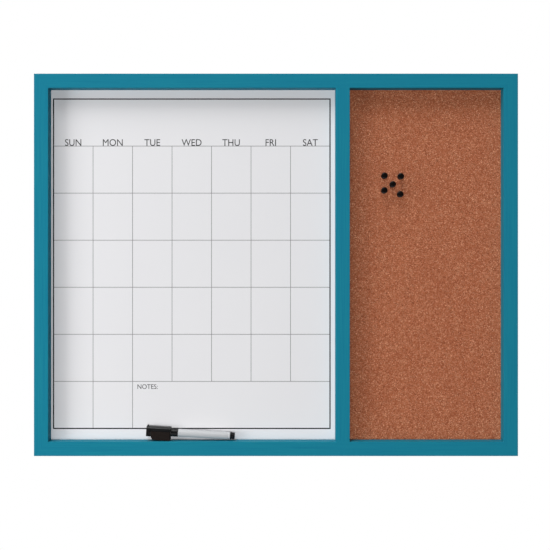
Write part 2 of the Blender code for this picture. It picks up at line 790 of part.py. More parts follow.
def cap_bore_shape():
    """The stepped hollow: narrow over the nib and nozzle, and wide over the barrel's neck."""
    end = CAP_BLOCK_END - CAP_BORE_DEPTH
    neck_start = CAP_BLOCK_END - GAP
    past = CAP_MOUTH_END + GAP
    bore = [
        (end, 0),
        (end, NECK_BORE),
        (neck_start, NECK_BORE),
        (neck_start, NECK_RADIUS + GAP),
        (past, NECK_RADIUS + GAP),
        (past, 0),
    ]
    return turned(bore, "X")


def felt_seat_shape():
    """The rebate in the cap's lower front that the felt's flap lies in."""
    low = (-CAP_FRONT - NUB_HEIGHT, -CAP_BOTTOM - NUB_HEIGHT)
    high = (FLAP_THICKNESS - CAP_FRONT, FLAP_TOP)
    return extruded(rectangle(low, high), "YZ", ERASER_START - GAP, CAP_BLOCK_END + GAP / 3)


def magnet_outline(grow=0.0):
    half_length = MAGNET_LENGTH / 2 + grow
    half_width = MAGNET_WIDTH / 2 + grow
    middle = CAP_BLOCK_END / 2
    return rectangle((middle - half_length, -half_width), (middle + half_length, half_width))


def marker_cap(axis, material):
    """The cap: a block and a round mouth in one piece, bored out, with seats for felt and magnet."""
    cap = cap_block(axis, material)
    pocket_floor = CAP_BACK - MAGNET_THICKNESS - 1.5 * GAP
    pocket = extruded(magnet_outline(GAP), "XZ", pocket_floor, CAP_BACK + GAP)
    combine(cap, solid("cap_nub", cap_nub_shape(), None, parent=axis), "UNION")
    combine(cap, solid("cap_mouth", cap_mouth_shape(), None, parent=axis), "UNION")
    combine(cap, solid("cap_bore", cap_bore_shape(), None, parent=axis))
    combine(cap, solid("cap_felt_seat", felt_seat_shape(), None, parent=axis))
    combine(cap, solid("cap_magnet_pocket", pocket, None, parent=axis))


def cap_eraser(axis, material):
    """The felt eraser: an L that covers the cap's lower front and its underside, cut back at one end."""
    front = -CAP_FRONT - GAP
    flap_back = front + FLAP_THICKNESS
    back = CAP_BACK - MAGNET_THICKNESS
    under = -CAP_BOTTOM - GAP
    section = [
        (front, -ERASER_DROP),
        (back, -ERASER_DROP),
        (back, under),
        (flap_back, under),
        (flap_back, FLAP_TOP - GAP),
        (front, FLAP_TOP - GAP),
    ]
    block = extruded(section, "YZ", ERASER_START, CAP_BLOCK_END - GAP)
    felt = solid("cap_eraser", block, material, parent=axis)
    before = ERASER_START - ERASER_SLOPE
    below = -ERASER_DROP - GAP
    slope = [(before, under), (before, below), (ERASER_START + ERASER_SLOPE, below)]
    slope.append((ERASER_START - GAP, under))
    wedge = extruded(slope, "XZ", front - GAP, back + GAP)
    combine(felt, solid("felt_slope", wedge, None, parent=axis))
    soften(felt, BARREL_EASE)


def cap_magnet(axis, material):
    """The magnet, a little below the surface of the cap's back."""
    face = CAP_BACK - GAP / 2
    slab = extruded(magnet_outline(), "XZ", face - MAGNET_THICKNESS, face)
    solid("cap_magnet", slab, material, parent=axis)


def marker(materials):
    """The marker lies against the calendar with its felt on the ledge and its far end a little lower."""
    axis_y = PANEL_FACE_Y - GAP - CAP_BACK
    felt_corner = CAP_BLOCK_END * math.sin(MARKER_TILT) + ERASER_DROP * math.cos(MARKER_TILT)
    start = (MARKER_START_X, axis_y, LEDGE_Z + GAP + felt_corner)
    axis = empty("marker_axis", start)
    axis.rotation_euler.y = MARKER_TILT
    cap_axis = empty("marker_cap_axis", (0, 0, 0), parent=axis)
    marker_barrel(axis, materials["barrel_plastic"])
    marker_tip(axis, materials)
    marker_end_plug(axis, materials["cap_plastic"])
    marker_cap(cap_axis, materials["cap_plastic"])
    cap_eraser(cap_axis, materials["felt"])
    cap_magnet(cap_axis, materials["ferrite"])


# ---------------------------------------------------------------- assembly


def main():
    for obj in list(bpy.data.objects):
        bpy.data.objects.remove(obj, do_unlink=True)
    materials = make_materials()
    rails = frame_rails(materials["painted_wood"])
    mullion = centre_mullion(materials["painted_wood"])
    corner_nails(rails, materials["zinc"])
    mullion_dowels(rails, mullion, materials["beech"])
    cork_layers, calendar_back, cork_back = panels(materials)
    calendar_tabs(rails, mullion, calendar_back, materials["zinc"])
    cork_tabs(rails, mullion, cork_back, materials["zinc"])
    hangers(rails, materials)
    wall_bumpers(materials["rubber"])
    push_pins(cork_layers, materials)
    marker(materials)


main()
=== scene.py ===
"""The looks of the framed calendar and cork board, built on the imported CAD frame.

Metres, +Z up. The board faces -Y, and the wall it hangs on is the plane y = 0. Every mesh is
made in the frame's own coordinates, so each object sits at the origin and its textures, which
read object coordinates, are laid out in metres over the whole board.
"""

import json
import math

import bmesh
import bpy
from mathutils import Matrix, Vector, noise


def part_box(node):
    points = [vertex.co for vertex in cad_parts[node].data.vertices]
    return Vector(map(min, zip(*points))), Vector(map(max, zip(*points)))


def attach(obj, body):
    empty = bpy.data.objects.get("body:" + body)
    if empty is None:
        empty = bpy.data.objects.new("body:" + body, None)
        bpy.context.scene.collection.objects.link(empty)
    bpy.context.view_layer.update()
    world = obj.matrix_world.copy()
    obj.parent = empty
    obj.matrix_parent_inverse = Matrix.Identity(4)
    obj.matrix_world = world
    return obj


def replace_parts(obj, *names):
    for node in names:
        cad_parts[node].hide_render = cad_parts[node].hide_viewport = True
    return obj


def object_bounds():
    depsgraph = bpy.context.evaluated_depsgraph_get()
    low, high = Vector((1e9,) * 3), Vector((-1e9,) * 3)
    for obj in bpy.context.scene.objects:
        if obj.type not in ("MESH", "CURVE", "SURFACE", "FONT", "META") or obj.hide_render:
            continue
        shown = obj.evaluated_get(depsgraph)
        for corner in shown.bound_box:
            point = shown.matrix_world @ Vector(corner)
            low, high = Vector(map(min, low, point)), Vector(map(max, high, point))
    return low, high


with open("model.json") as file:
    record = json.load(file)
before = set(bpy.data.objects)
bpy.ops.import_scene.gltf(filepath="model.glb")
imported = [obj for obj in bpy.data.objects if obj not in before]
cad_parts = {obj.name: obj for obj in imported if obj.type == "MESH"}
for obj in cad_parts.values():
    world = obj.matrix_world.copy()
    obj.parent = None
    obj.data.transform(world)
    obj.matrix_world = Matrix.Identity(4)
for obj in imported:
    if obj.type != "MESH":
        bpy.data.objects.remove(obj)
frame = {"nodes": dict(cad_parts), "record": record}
cad_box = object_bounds()
MM = 0.001

# The view: the camera faces the board square on.
CAMERA_DISTANCE = 1.35  # from the frame's front
BOARD_SHARE = 0.8805  # of the picture's width that the board takes up
VIEW_SHIFT = (-0.00175, -0.0185)  # in picture widths
SENSOR = 36.0  # in millimetres, as Blender gives lenses

# The printed month: seven equal columns and rows inside a border.
PRINT_MARGIN = {"left": 3.6 * MM, "right": 7.6 * MM, "top": 13.4 * MM, "bottom": 16.7 * MM}
PRINT_CELLS = 7
NOTES_FROM_COLUMN = 2  # the last row is ruled only up to here
BORDER_LINE = 1.8 * MM
RULE_LINE = 0.85 * MM
INK_RELIEF = 0.04 * MM  # in front of the sheet
INK_ROOT = 0.02 * MM  # behind the sheet's face
WEEKDAYS = ("SUN", "MON", "TUE", "WED", "THU", "FRI", "SAT")
WEEKDAY_SIZE = 14.6 * MM
NOTES_SIZE = 10.2 * MM
NOTES_INDENT = 6.8 * MM
NOTES_DROP = 4.0 * MM
CAPITAL_HEIGHT = 0.73  # of a letter's size
LETTER_WIDTH = 0.92  # of the typeface's own

# The cork's surface relief.
CORK_STEP = 1.5 * MM
CORK_GRAIN = 2.6 * MM
CORK_RELIEF = 0.16 * MM
CORK_SEAM_SHARPNESS = 3.0
CORK_ROLL = 6 * CORK_GRAIN
CORK_PIT = 0.45 * MM
CORK_PIT_SPACING = 1.4 * CORK_GRAIN
CORK_PIT_ONSET = 0.62
CORK_PIT_SLOPE = 4.0
NEEDLE_CLEARANCE = 0.12 * MM


# ---- the frame's measures


def centre_of(node):
    low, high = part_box(node)
    return (low + high) / 2


def window(left_node, right_node):
    """What shows between two uprights: (x low, x high, z low, z high)."""
    x_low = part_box(left_node)[1].x
    x_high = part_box(right_node)[0].x
    z_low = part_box("frame_rail_bottom")[1].z
    z_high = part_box("frame_rail_top")[0].z
    return x_low, x_high, z_low, z_high


BOARD_LOW, BOARD_HIGH = cad_box
FRONT_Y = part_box("frame_rail_top")[0].y
PANEL_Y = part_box("dry_erase_sheet")[0].y
CALENDAR_WINDOW = window("frame_rail_left", "centre_mullion")
CORK_WINDOW = window("centre_mullion", "frame_rail_right")


# ---- shader nodes


def feed(tree, socket, value):
    """Links an input if the value is a socket, and sets it otherwise."""
    if isinstance(value, bpy.types.NodeSocket):
        tree.links.new(value, socket)
    else:
        socket.default_value = value


def add(tree, kind, inputs=None, **settings):
    """A new node, with its inputs fed by name or by number."""
    node = tree.nodes.new("ShaderNode" + kind)
    for name, value in settings.items():
        setattr(node, name, value)
    for name, value in (inputs or {}).items():
        feed(tree, node.inputs[name], value)
    return node


def position(tree, stretch=(1, 1, 1), shift=(0, 0, 0)):
    """Object coordinates, in metres, scaled along each axis."""
    coordinates = add(tree, "TexCoord").outputs["Object"]
    mapping = add(tree, "Mapping", {"Vector": coordinates, "Scale": stretch, "Location": shift})
    return mapping.outputs["Vector"]


def cloud(tree, scale, detail=3.0, roughness=0.55, vector=None):
    """Fractal noise about 0.5, with features 1/scale of the vector's unit across."""
    inputs = {"Vector": vector or position(tree), "Scale": scale}
    inputs |= {"Detail": detail, "Roughness": roughness}
    return add(tree, "TexNoise", inputs).outputs["Fac"]


def strands(tree, axis, length, width, detail=3.0, roughness=0.55):
    """Fractal noise drawn out along one axis."""
    stretch = tuple(1 / length if name == axis else 1 / width for name in "XYZ")
    return cloud(tree, 1.0, detail, roughness, position(tree, stretch))


def math_node(tree, operation, first, second=0.0):
    return add(tree, "Math", {0: first, 1: second}, operation=operation).outputs[0]


def times(tree, first, second):
    return math_node(tree, "MULTIPLY", first, second)


def spread(tree, value, low, high, to_low=0.0, to_high=1.0):
    """The value taken from one range to another, and held at the ends."""
    inputs = {"Value": value, "From Min": low, "From Max": high, "To Min": to_low, "To Max": to_high}
    return add(tree, "MapRange", inputs, clamp=True).outputs["Result"]


def uneven(tree, noisy, low, high):
    """A noise's usual range taken to the range given."""
    return spread(tree, noisy, 0.3, 0.7, low, high)


def blend(tree, amount, first, second):
    """A mix of two colours, each a socket or an (r, g, b)."""
    node = add(tree, "Mix", data_type="RGBA")
    sockets = [socket for socket in node.inputs if socket.enabled]
    for socket, value in zip(sockets, (amount, first, second)):
        feed(tree, socket, (*value, 1.0) if isinstance(value, tuple) else value)
    return next(socket for socket in node.outputs if socket.enabled)


def ramp(tree, amount, *stops):
    """A colour from (place, (r, g, b)) stops."""
    node = add(tree, "ValToRGB", {"Fac": amount})
    elements = node.color_ramp.elements
    while len(elements) < len(stops):
        elements.new(1.0)
    for element, (place, colour) in zip(elements, stops):
        element.position = place
        element.color = (*colour, 1.0)
    return node.outputs["Color"]


def bump(tree, height, depth, normal=None):
    """A bump whose full range is depth metres."""
    inputs = {"Height": height, "Distance": depth}
    if normal is not None:
        inputs["Normal"] = normal
    return add(tree, "Bump", inputs).outputs["Normal"]


def edge_mask(tree, radius):
    """Near 1 along sharp edges and 0 on open faces."""
    soft = add(tree, "Bevel", {"Radius": radius}, samples=6).outputs["Normal"]
    flat = add(tree, "NewGeometry").outputs["Normal"]
    dot = add(tree, "VectorMath", {0: soft, 1: flat}, operation="DOT_PRODUCT")
    return spread(tree, dot.outputs["Value"], 0.995, 0.85)


def material(name, **constants):
    """A new Principled material and its tree. Constants go straight on the shader's sockets."""
    made = bpy.data.materials.new(name)
    made.use_nodes = True
    shader = made.node_tree.nodes["Principled BSDF"]
    for socket, value in constants.items():
        shader.inputs[socket.replace("_", " ")].default_value = value
    return made, made.node_tree


def connect(made, colour=None, roughness=None, normal=None):
    """Links what varies over the surface to the shader."""
    shader = made.node_tree.nodes["Principled BSDF"]
    for name, socket in (("Base Color", colour), ("Roughness", roughness), ("Normal", normal)):
        if socket is not None:
            made.node_tree.links.new(socket, shader.inputs[name])
    return made


# ---- materials


def raw_wood(tree, axis):
    """Bare pine: pale, with darker growth lines along the grain."""
    lines = strands(tree, axis, 220 * MM, 7 * MM, 4.0, 0.6)
    fibres = strands(tree, axis, 30 * MM, 0.5 * MM)
    colour = ramp(
        tree,
        lines,
        (0.35, (0.52, 0.33, 0.17)),
        (0.55, (0.62, 0.43, 0.24)),
        (0.70, (0.44, 0.26, 0.12)),
    )
    return blend(tree, spread(tree, fibres, 0.4, 0.7, 0.0, 0.3), colour, (0.36, 0.21, 0.10)), fibres


def painted_wood(axis):
    """Teal paint rubbed thin enough to show the grain, and bare wood on the back."""
    made, tree = material(f"teal_paint_grain_{axis.lower()}", Specular_IOR_Level=0.05)
    streaks = strands(tree, axis, 110 * MM, 1.6 * MM, 4.0, 0.6)
    fibres = strands(tree, axis, 28 * MM, 0.35 * MM)
    patches = cloud(tree, 9.0, 2.0)
    paint = ramp(
        tree,
        streaks,
        (0.30, (0.0092, 0.176, 0.266)),
        (0.50, (0.0109, 0.199, 0.287)),
        (0.70, (0.0136, 0.220, 0.293)),
    )
    paint = blend(tree, spread(tree, patches, 0.35, 0.65, 0.0, 0.35), paint, (0.0113, 0.184, 0.291))
    pores = spread(tree, fibres, 0.62, 0.72)
    paint = blend(tree, times(tree, pores, 0.35), paint, (0.005, 0.120, 0.176))
    thin = spread(tree, streaks, 0.45, 0.65, 0.0, 0.35)
    worn = times(tree, edge_mask(tree, 0.5 * MM), thin)
    paint = blend(tree, worn, paint, (0.022, 0.250, 0.340))
    wood, grain = raw_wood(tree, axis)
    colour = blend(tree, bare_mask(tree), paint, wood)
    relief = math_node(tree, "ADD", times(tree, streaks, 0.6), grain)
    stipple = cloud(tree, 1400.0, 2.0)
    normal = bump(tree, stipple, 0.02 * MM, bump(tree, relief, 0.06 * MM))
    return connect(made, colour, uneven(tree, streaks, 0.46, 0.62), normal)


def bare_mask(tree):
    """1 on faces turned to the wall, inside the ragged line where the paint stops, else 0."""
    normal = add(tree, "SeparateXYZ", {"Vector": add(tree, "TexCoord").outputs["Normal"]}).outputs["Y"]
    to_wall = spread(tree, normal, 0.6, 0.8)
    place = add(tree, "SeparateXYZ", {"Vector": position(tree)})
    from_side = edge_distance(tree, place.outputs["X"], BOARD_HIGH.x)
    from_end = edge_distance(tree, place.outputs["Z"], BOARD_HIGH.z)
    nearest = math_node(tree, "MINIMUM", from_side, from_end)
    ragged = uneven(tree, cloud(tree, 110.0, 4.0, 0.6), 0.4 * MM, 1.8 * MM)
    inside = math_node(tree, "GREATER_THAN", nearest, ragged)
    return times(tree, to_wall, inside)


def edge_distance(tree, coordinate, limit):
    """How far a coordinate is inside the limit, on either side of zero."""
    return math_node(tree, "SUBTRACT", limit, math_node(tree, "ABSOLUTE", coordinate))


def dry_erase_enamel():
    made, tree = material("white_dry_erase_enamel", Coat_Weight=0.2, Coat_Roughness=0.15)
    tint = cloud(tree, 7.0)
    colour = ramp(tree, tint, (0.3, (0.770, 0.766, 0.784)), (0.7, (0.779, 0.775, 0.791)))
    haze = cloud(tree, 11.0, 2.0)
    peel = cloud(tree, 190.0, 2.0)
    return connect(made, colour, uneven(tree, haze, 0.30, 0.34), bump(tree, peel, 0.006 * MM))


def printing_ink(name, dark, light):
    """Screen ink, a little uneven in its cover."""
    made, tree = material(name, Specular_IOR_Level=0.2)
    cover = cloud(tree, 900.0, 3.0, 0.7)
    colour = ramp(tree, cover, (0.35, dark), (0.70, light))
    return connect(made, colour, uneven(tree, cover, 0.30, 0.42), bump(tree, cover, 0.008 * MM))


def granules(tree, size, shift=(0, 0, 0)):
    """Irregular grains: each one's random value, the distance to its edge, and a cloud."""
    wander = cloud(tree, 0.9 / size, 2.0, vector=position(tree, shift=shift))
    vector = position(tree, (1, 0.35, 1), shift)
    warp = add(tree, "TexNoise", {"Vector": vector, "Scale": 0.8 / size}).outputs["Color"]
    moved = add(tree, "VectorMath", {0: warp, 1: (size, size, size), 2: vector}, operation="MULTIPLY_ADD")
    layout = {"Vector": moved.outputs[0], "Scale": 1 / size}
    cells = add(tree, "TexVoronoi", layout)
    edges = add(tree, "TexVoronoi", layout, feature="DISTANCE_TO_EDGE")
    value = add(tree, "SeparateColor", {"Color": cells.outputs["Color"]}).outputs["Red"]
    return value, edges.outputs["Distance"], wander


def cork():
    """Pressed cork: reddish grains of every shade, with dark bark specks and pale ones."""
    made, tree = material("pressed_cork", Specular_IOR_Level=0.25)
    value, edge, wander = granules(tree, 1.7 * MM)
    small, small_edge, _ = granules(tree, 1.0 * MM, shift=(0.4, 0.1, 0.7))
    body = ramp(
        tree,
        value,
        (0.00, (0.285, 0.077, 0.036)),
        (0.30, (0.399, 0.120, 0.057)),
        (0.65, (0.490, 0.159, 0.077)),
        (0.90, (0.593, 0.213, 0.109)),
        (1.00, (0.707, 0.308, 0.163)),
    )
    fines = ramp(
        tree,
        small,
        (0.00, (0.125, 0.025, 0.009)),
        (0.30, (0.380, 0.104, 0.043)),
        (0.75, (0.540, 0.179, 0.085)),
        (1.00, (0.920, 0.511, 0.302)),
    )
    colour = blend(tree, spread(tree, wander, 0.40, 0.60, 0.45, 0.85), body, fines)
    seams = spread(tree, edge, 0.0, 0.16, 0.45, 0.0)
    colour = blend(tree, seams, colour, (0.182, 0.049, 0.025))
    specks = spread(tree, cloud(tree, 520.0, 2.0), 0.66, 0.72)
    colour = blend(tree, times(tree, specks, 0.8), colour, (0.068, 0.023, 0.013))
    mottle = cloud(tree, 26.0)
    colour = blend(tree, spread(tree, mottle, 0.35, 0.7, 0.0, 0.12), colour, (0.342, 0.101, 0.048))
    roughness = spread(tree, small, 0.0, 1.0, 0.78, 0.95)
    coarse = bump(tree, spread(tree, edge, 0.0, 0.25), 0.20 * MM)
    fine = bump(tree, spread(tree, small_edge, 0.0, 0.3), 0.12 * MM, coarse)
    return connect(made, colour, roughness, fine)


def moulded_plastic(name, colour, lighter, roughness, texture=1600.0, **constants):
    """Moulded plastic: a fine spark texture, faint flow marks and rubbed edges."""
    made, tree = material(name, **constants)
    flow = cloud(tree, 320.0)
    tone = ramp(tree, flow, (0.3, colour), (0.75, tuple((a + b) / 2 for a, b in zip(colour, lighter))))
    tone = blend(tree, times(tree, edge_mask(tree, 0.4 * MM), 0.5), tone, lighter)
    finish = uneven(tree, flow, roughness * 0.8, roughness * 1.25)
    grain = cloud(tree, texture, 2.0)
    return connect(made, tone, finish, bump(tree, grain, 0.012 * MM))


def felt():
    """Dense dark felt with a few pale fibres."""
    made, tree = material("eraser_felt", Sheen_Weight=0.1, Sheen_Roughness=0.5, Specular_IOR_Level=0.1)
    mat = cloud(tree, 1500.0, 4.0, 0.75)
    fibres = cloud(tree, 900.0, 3.0, 0.7, position(tree, (1, 1, 6)))
    colour = ramp(tree, mat, (0.35, (0.006, 0.0045, 0.004)), (0.65, (0.020, 0.014, 0.012)))
    colour = blend(tree, spread(tree, fibres, 0.62, 0.72, 0.0, 0.5), colour, (0.052, 0.040, 0.035))
    tangle = math_node(tree, "ADD", mat, fibres)
    return connect(made, colour, uneven(tree, mat, 0.9, 1.0), bump(tree, tangle, 0.25 * MM))


def silver_barrel():
    """Silver-grey lacquer on a tube, with faint lengthwise lines and fine flakes."""
    made, tree = material("silver_barrel_lacquer", Specular_IOR_Level=0.3)
    draw = strands(tree, "X", 60 * MM, 0.4 * MM)
    flake = cloud(tree, 3200.0, 2.0)
    colour = ramp(tree, draw, (0.3, (0.43, 0.44, 0.455)), (0.7, (0.50, 0.51, 0.52)))
    colour = blend(tree, spread(tree, flake, 0.55, 0.75, 0.0, 0.25), colour, (0.60, 0.61, 0.63))
    return connect(made, colour, uneven(tree, draw, 0.40, 0.50), bump(tree, flake, 0.006 * MM))


def plated_steel(name, colour, roughness):
    """Plated sheet or wire: cloudy plating, fine scratches and rubbed edges."""
    made, tree = material(name, Metallic=1.0)
    spangle = add(tree, "TexVoronoi", {"Vector": position(tree), "Scale": 420.0}, feature="SMOOTH_F1")
    cloudy = cloud(tree, 150.0, 4.0)
    mixed = math_node(tree, "ADD", times(tree, spangle.outputs["Distance"], 0.5), cloudy)
    dull = tuple(c * 0.72 for c in colour)
    tone = ramp(tree, mixed, (0.45, dull), (0.95, colour))
    tone = blend(tree, times(tree, edge_mask(tree, 0.3 * MM), 0.4), tone, (0.85, 0.85, 0.86))
    scratches = cloud(tree, 1.0, 2.0, vector=position(tree, (260, 260, 4200)))
    finish = spread(tree, mixed, 0.4, 1.1, roughness * 0.75, roughness * 1.4)
    return connect(made, tone, finish, bump(tree, scratches, 0.008 * MM))


def hardboard():
    """Brown hardboard with the screen pattern pressed into its back."""
    made, tree = material("screen_back_hardboard", Specular_IOR_Level=0.3)
    fibres = cloud(tree, 420.0, 4.0, 0.7, position(tree, (1, 1, 2.5)))
    blotch = cloud(tree, 14.0)
    colour = ramp(
        tree,
        fibres,
        (0.3, (0.105, 0.055, 0.028)),
        (0.6, (0.185, 0.100, 0.052)),
        (0.8, (0.300, 0.180, 0.100)),
    )
    colour = blend(tree, spread(tree, blotch, 0.35, 0.65, 0.0, 0.35), colour, (0.130, 0.068, 0.036))
    normal = bump(tree, fibres, 0.08 * MM, bump(tree, woven(tree, 1.6 * MM), 0.10 * MM))
    return connect(made, colour, uneven(tree, fibres, 0.68, 0.88), normal)


WAVES_PER_SCALE = 20  # a wave texture of scale 1 has a wavelength of tau / 20


def woven(tree, pitch):
    """A square screen of ridges in the XZ plane."""
    layout = {"Vector": position(tree), "Scale": math.tau / WAVES_PER_SCALE / pitch}
    bands = [add(tree, "TexWave", layout, bands_direction=axis).outputs["Fac"] for axis in "XZ"]
    return math_node(tree, "MAXIMUM", *bands)


def softboard():
    """Grey-buff softboard, felted from loose wood fibre."""
    made, tree = material("fibre_softboard", Specular_IOR_Level=0.15)
    fibres = cloud(tree, 260.0, 5.0, 0.75, position(tree, (1, 1, 3)))
    flecks = cloud(tree, 700.0, 2.0)
    colour = ramp(
        tree,
        fibres,
        (0.30, (0.235, 0.190, 0.140)),
        (0.55, (0.345, 0.290, 0.225)),
        (0.80, (0.450, 0.390, 0.310)),
    )
    colour = blend(tree, spread(tree, flecks, 0.66, 0.74, 0.0, 0.7), colour, (0.13, 0.09, 0.06))
    return connect(made, colour, uneven(tree, fibres, 0.88, 1.0), bump(tree, fibres, 0.30 * MM))


def rubber():
    made, tree = material("black_rubber", Specular_IOR_Level=0.3)
    dust = cloud(tree, 500.0, 4.0, 0.7)
    colour = ramp(tree, dust, (0.4, (0.014, 0.014, 0.014)), (0.8, (0.055, 0.053, 0.050)))
    return connect(made, colour, uneven(tree, dust, 0.6, 0.85), bump(tree, dust, 0.03 * MM))


def beech():
    made, tree = material("beech_dowel")
    colour, grain = raw_wood(tree, "Z")
    return connect(made, colour, uneven(tree, grain, 0.55, 0.75), bump(tree, grain, 0.04 * MM))


def ferrite():
    made, tree = material("sintered_ferrite", Metallic=0.3)
    grain = cloud(tree, 2200.0)
    colour = ramp(tree, grain, (0.3, (0.035, 0.035, 0.038)), (0.7, (0.075, 0.075, 0.080)))
    return connect(made, colour, uneven(tree, grain, 0.5, 0.7), bump(tree, grain, 0.02 * MM))


def ink_fibre():
    """Bonded fibre, soaked with black ink."""
    made, tree = material("inked_fibre", Specular_IOR_Level=0.4)
    bundle = strands(tree, "X", 8 * MM, 0.12 * MM)
    colour = ramp(tree, bundle, (0.3, (0.008, 0.008, 0.010)), (0.7, (0.035, 0.035, 0.042)))
    return connect(made, colour, uneven(tree, bundle, 0.6, 0.9), bump(tree, bundle, 0.05 * MM))


def make_materials():
    """One material for each of the record's slots, and the printing inks."""
    return {
        "painted_wood": painted_wood("X"),
        "painted_wood_upright": painted_wood("Z"),
        "beech": beech(),
        "dry_erase": dry_erase_enamel(),
        "hardboard": hardboard(),
        "cork": cork(),
        "softboard": softboard(),
        "zinc_steel": plated_steel("zinc_plated_steel", (0.66, 0.67, 0.69), 0.32),
        "bright_steel": plated_steel("bright_steel", (0.74, 0.74, 0.75), 0.20),
        "rubber": rubber(),
        "pin_plastic": moulded_plastic(
            "black_pin_plastic",
            colour=(0.0040, 0.0026, 0.0024),
            lighter=(0.008, 0.006, 0.005),
            roughness=0.24,
            texture=2400.0,
            Specular_IOR_Level=0.15,
        ),
        "cap_plastic": moulded_plastic(
            "black_cap_plastic",
            colour=(0.0040, 0.0040, 0.0042),
            lighter=(0.014, 0.014, 0.015),
            roughness=0.36,
            Specular_IOR_Level=0.22,
        ),
        "barrel_plastic": silver_barrel(),
        "nozzle_plastic": moulded_plastic(
            "white_nozzle_plastic",
            colour=(0.72, 0.72, 0.71),
            lighter=(0.80, 0.80, 0.79),
            roughness=0.38,
        ),
        "ink_fibre": ink_fibre(),
        "felt": felt(),
        "ferrite": ferrite(),
        "border_ink": printing_ink("border_ink", (0.003, 0.003, 0.004), (0.008, 0.008, 0.009)),
        "rule_ink": printing_ink("rule_ink", (0.200, 0.200, 0.205), (0.270, 0.270, 0.275)),
        "label_ink": printing_ink("label_ink", (0.016, 0.016, 0.017), (0.032, 0.032, 0.034)),
        "notes_ink": printing_ink("notes_ink", (0.036, 0.036, 0.038), (0.060, 0.060, 0.063)),
    }


UPRIGHTS = ("frame_rail_left", "frame_rail_right", "centre_mullion")


def dress_nodes(materials):
    """Every CAD node gets its slot's material; the upright pieces of wood have upright grain."""
    for part in frame["record"]["subparts"]:
        node = frame["nodes"][part["node"]]
        slot = part["material_slot"]
        if slot == "painted_wood" and part["node"] in UPRIGHTS:
            slot = "painted_wood_upright"
        for material_slot in node.material_slots:
            material_slot.material = materials[slot]


# ---- meshes


WELD = 0.001 * MM
ROUND_SIDES = 64
NEEDLE_SIDES = 32
PIN_COUNT = 5


def body_of(node):
    bodies = frame["record"]["behaviour"]["bodies"]
    return next(body for body, nodes in bodies.items() if node in nodes)


def slot_of(node):
    return next(part["material_slot"] for part in frame["record"]["subparts"] if part["node"] == node)


def linked(name, data):
    """A new object in the scene."""
    obj = bpy.data.objects.new(name, data)
    bpy.context.scene.collection.objects.link(obj)
    return obj


def mesh_from(name, bm, smooth_below=None):
    """A mesh with its faces pointing out, smooth where they meet at less than the angle."""
    bmesh.ops.recalc_face_normals(bm, faces=bm.faces)
    mesh = bpy.data.meshes.new(name)
    bm.to_mesh(mesh)
    bm.free()
    if smooth_below is not None:
        mesh.shade_smooth()
        mesh.set_sharp_from_angle(angle=math.radians(smooth_below))
    return mesh


def piece(name, bm, made, body, smooth_below=None):
    """A new piece from a bmesh in the frame's coordinates, riding on a body."""
    mesh = mesh_from(name, bm, smooth_below)
    mesh.materials.append(made)
    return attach(linked(name, mesh), body)


def stand_in(node, bm, materials, smooth_below=35):
    """A finer piece in place of a CAD node, on its body and in its finish."""
    slot = slot_of(node)
    obj = piece(f"{node}_fine", bm, materials[slot], body_of(node), smooth_below)
    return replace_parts(obj, node)


def evaluated(obj):
    """The object's mesh with its modifiers applied. The object is removed."""
    graph = bpy.context.evaluated_depsgraph_get()
    mesh = bpy.data.meshes.new_from_object(obj.evaluated_get(graph))
    bpy.data.objects.remove(obj)
    return mesh


def bmesh_from(mesh):
    bm = bmesh.new()
    bm.from_mesh(mesh)
    bpy.data.meshes.remove(mesh)
    return bm


def welded(node):
    """A CAD node's shape with its triangles joined into whole faces."""
    bm = bmesh.new()
    bm.from_mesh(frame["nodes"][node].data)
    bmesh.ops.remove_doubles(bm, verts=bm.verts[:], dist=WELD)
    bmesh.ops.dissolve_limit(bm, angle_limit=math.radians(0.5), verts=bm.verts[:], edges=bm.edges[:])
    return bm


def ease_edges(bm, width, segments=3):
    """Rounds the edges that turn by more than 30 degrees."""
    sharp = [edge for edge in bm.edges if edge.calc_face_angle(0) > math.radians(30)]
    bmesh.ops.bevel(
        bm, geom=sharp, offset=width, segments=segments, profile=0.5, affect="EDGES", clamp_overlap=True
    )
    bmesh.ops.dissolve_degenerate(bm, dist=WELD, edges=bm.edges[:])


def even_shading(obj):
    """Keeps broad faces flat where they meet rounded edges."""
    obj.modifiers.new("even shading", "WEIGHTED_NORMAL").keep_sharp = True


def eased(node, materials, width):
    """A CAD node's own shape with rounded edges."""
    bm = welded(node)
    ease_edges(bm, width)
    even_shading(stand_in(node, bm, materials))


def carved(bm, cutters):
    """The bmesh's solid less each cutter's."""
    host = linked("host", mesh_from("host", bm))
    tools = [linked("cutter", mesh_from("cutter", cutter)) for cutter in cutters]
    for tool in tools:
        cut = host.modifiers.new("cut", "BOOLEAN")
        cut.operation = "DIFFERENCE"
        cut.solver = "EXACT"
        cut.object = tool
    bpy.context.view_layer.update()
    mesh = evaluated(host)
    for tool in tools:
        bpy.data.objects.remove(tool)
    bm = bmesh_from(mesh)
    bmesh.ops.dissolve_degenerate(bm, dist=WELD, edges=bm.edges[:])
    return bm


def add_box(bm, x_range, y_range, z_range, place=Matrix()):
    low = Vector((x_range[0], y_range[0], z_range[0]))
    high = Vector((x_range[1], y_range[1], z_range[1]))
    middle = Matrix.Translation((low + high) / 2)
    bmesh.ops.create_cube(bm, size=1.0, matrix=place @ middle @ Matrix.Diagonal((*(high - low), 1.0)))


def arc(centre, radius, start, end, steps):
    """Points on an arc between two angles in radians, both ends included."""
    points = []
    for step in range(steps + 1):
        turn = start + (end - start) * step / steps
        points.append((centre[0] + radius * math.cos(turn), centre[1] + radius * math.sin(turn)))
    return points


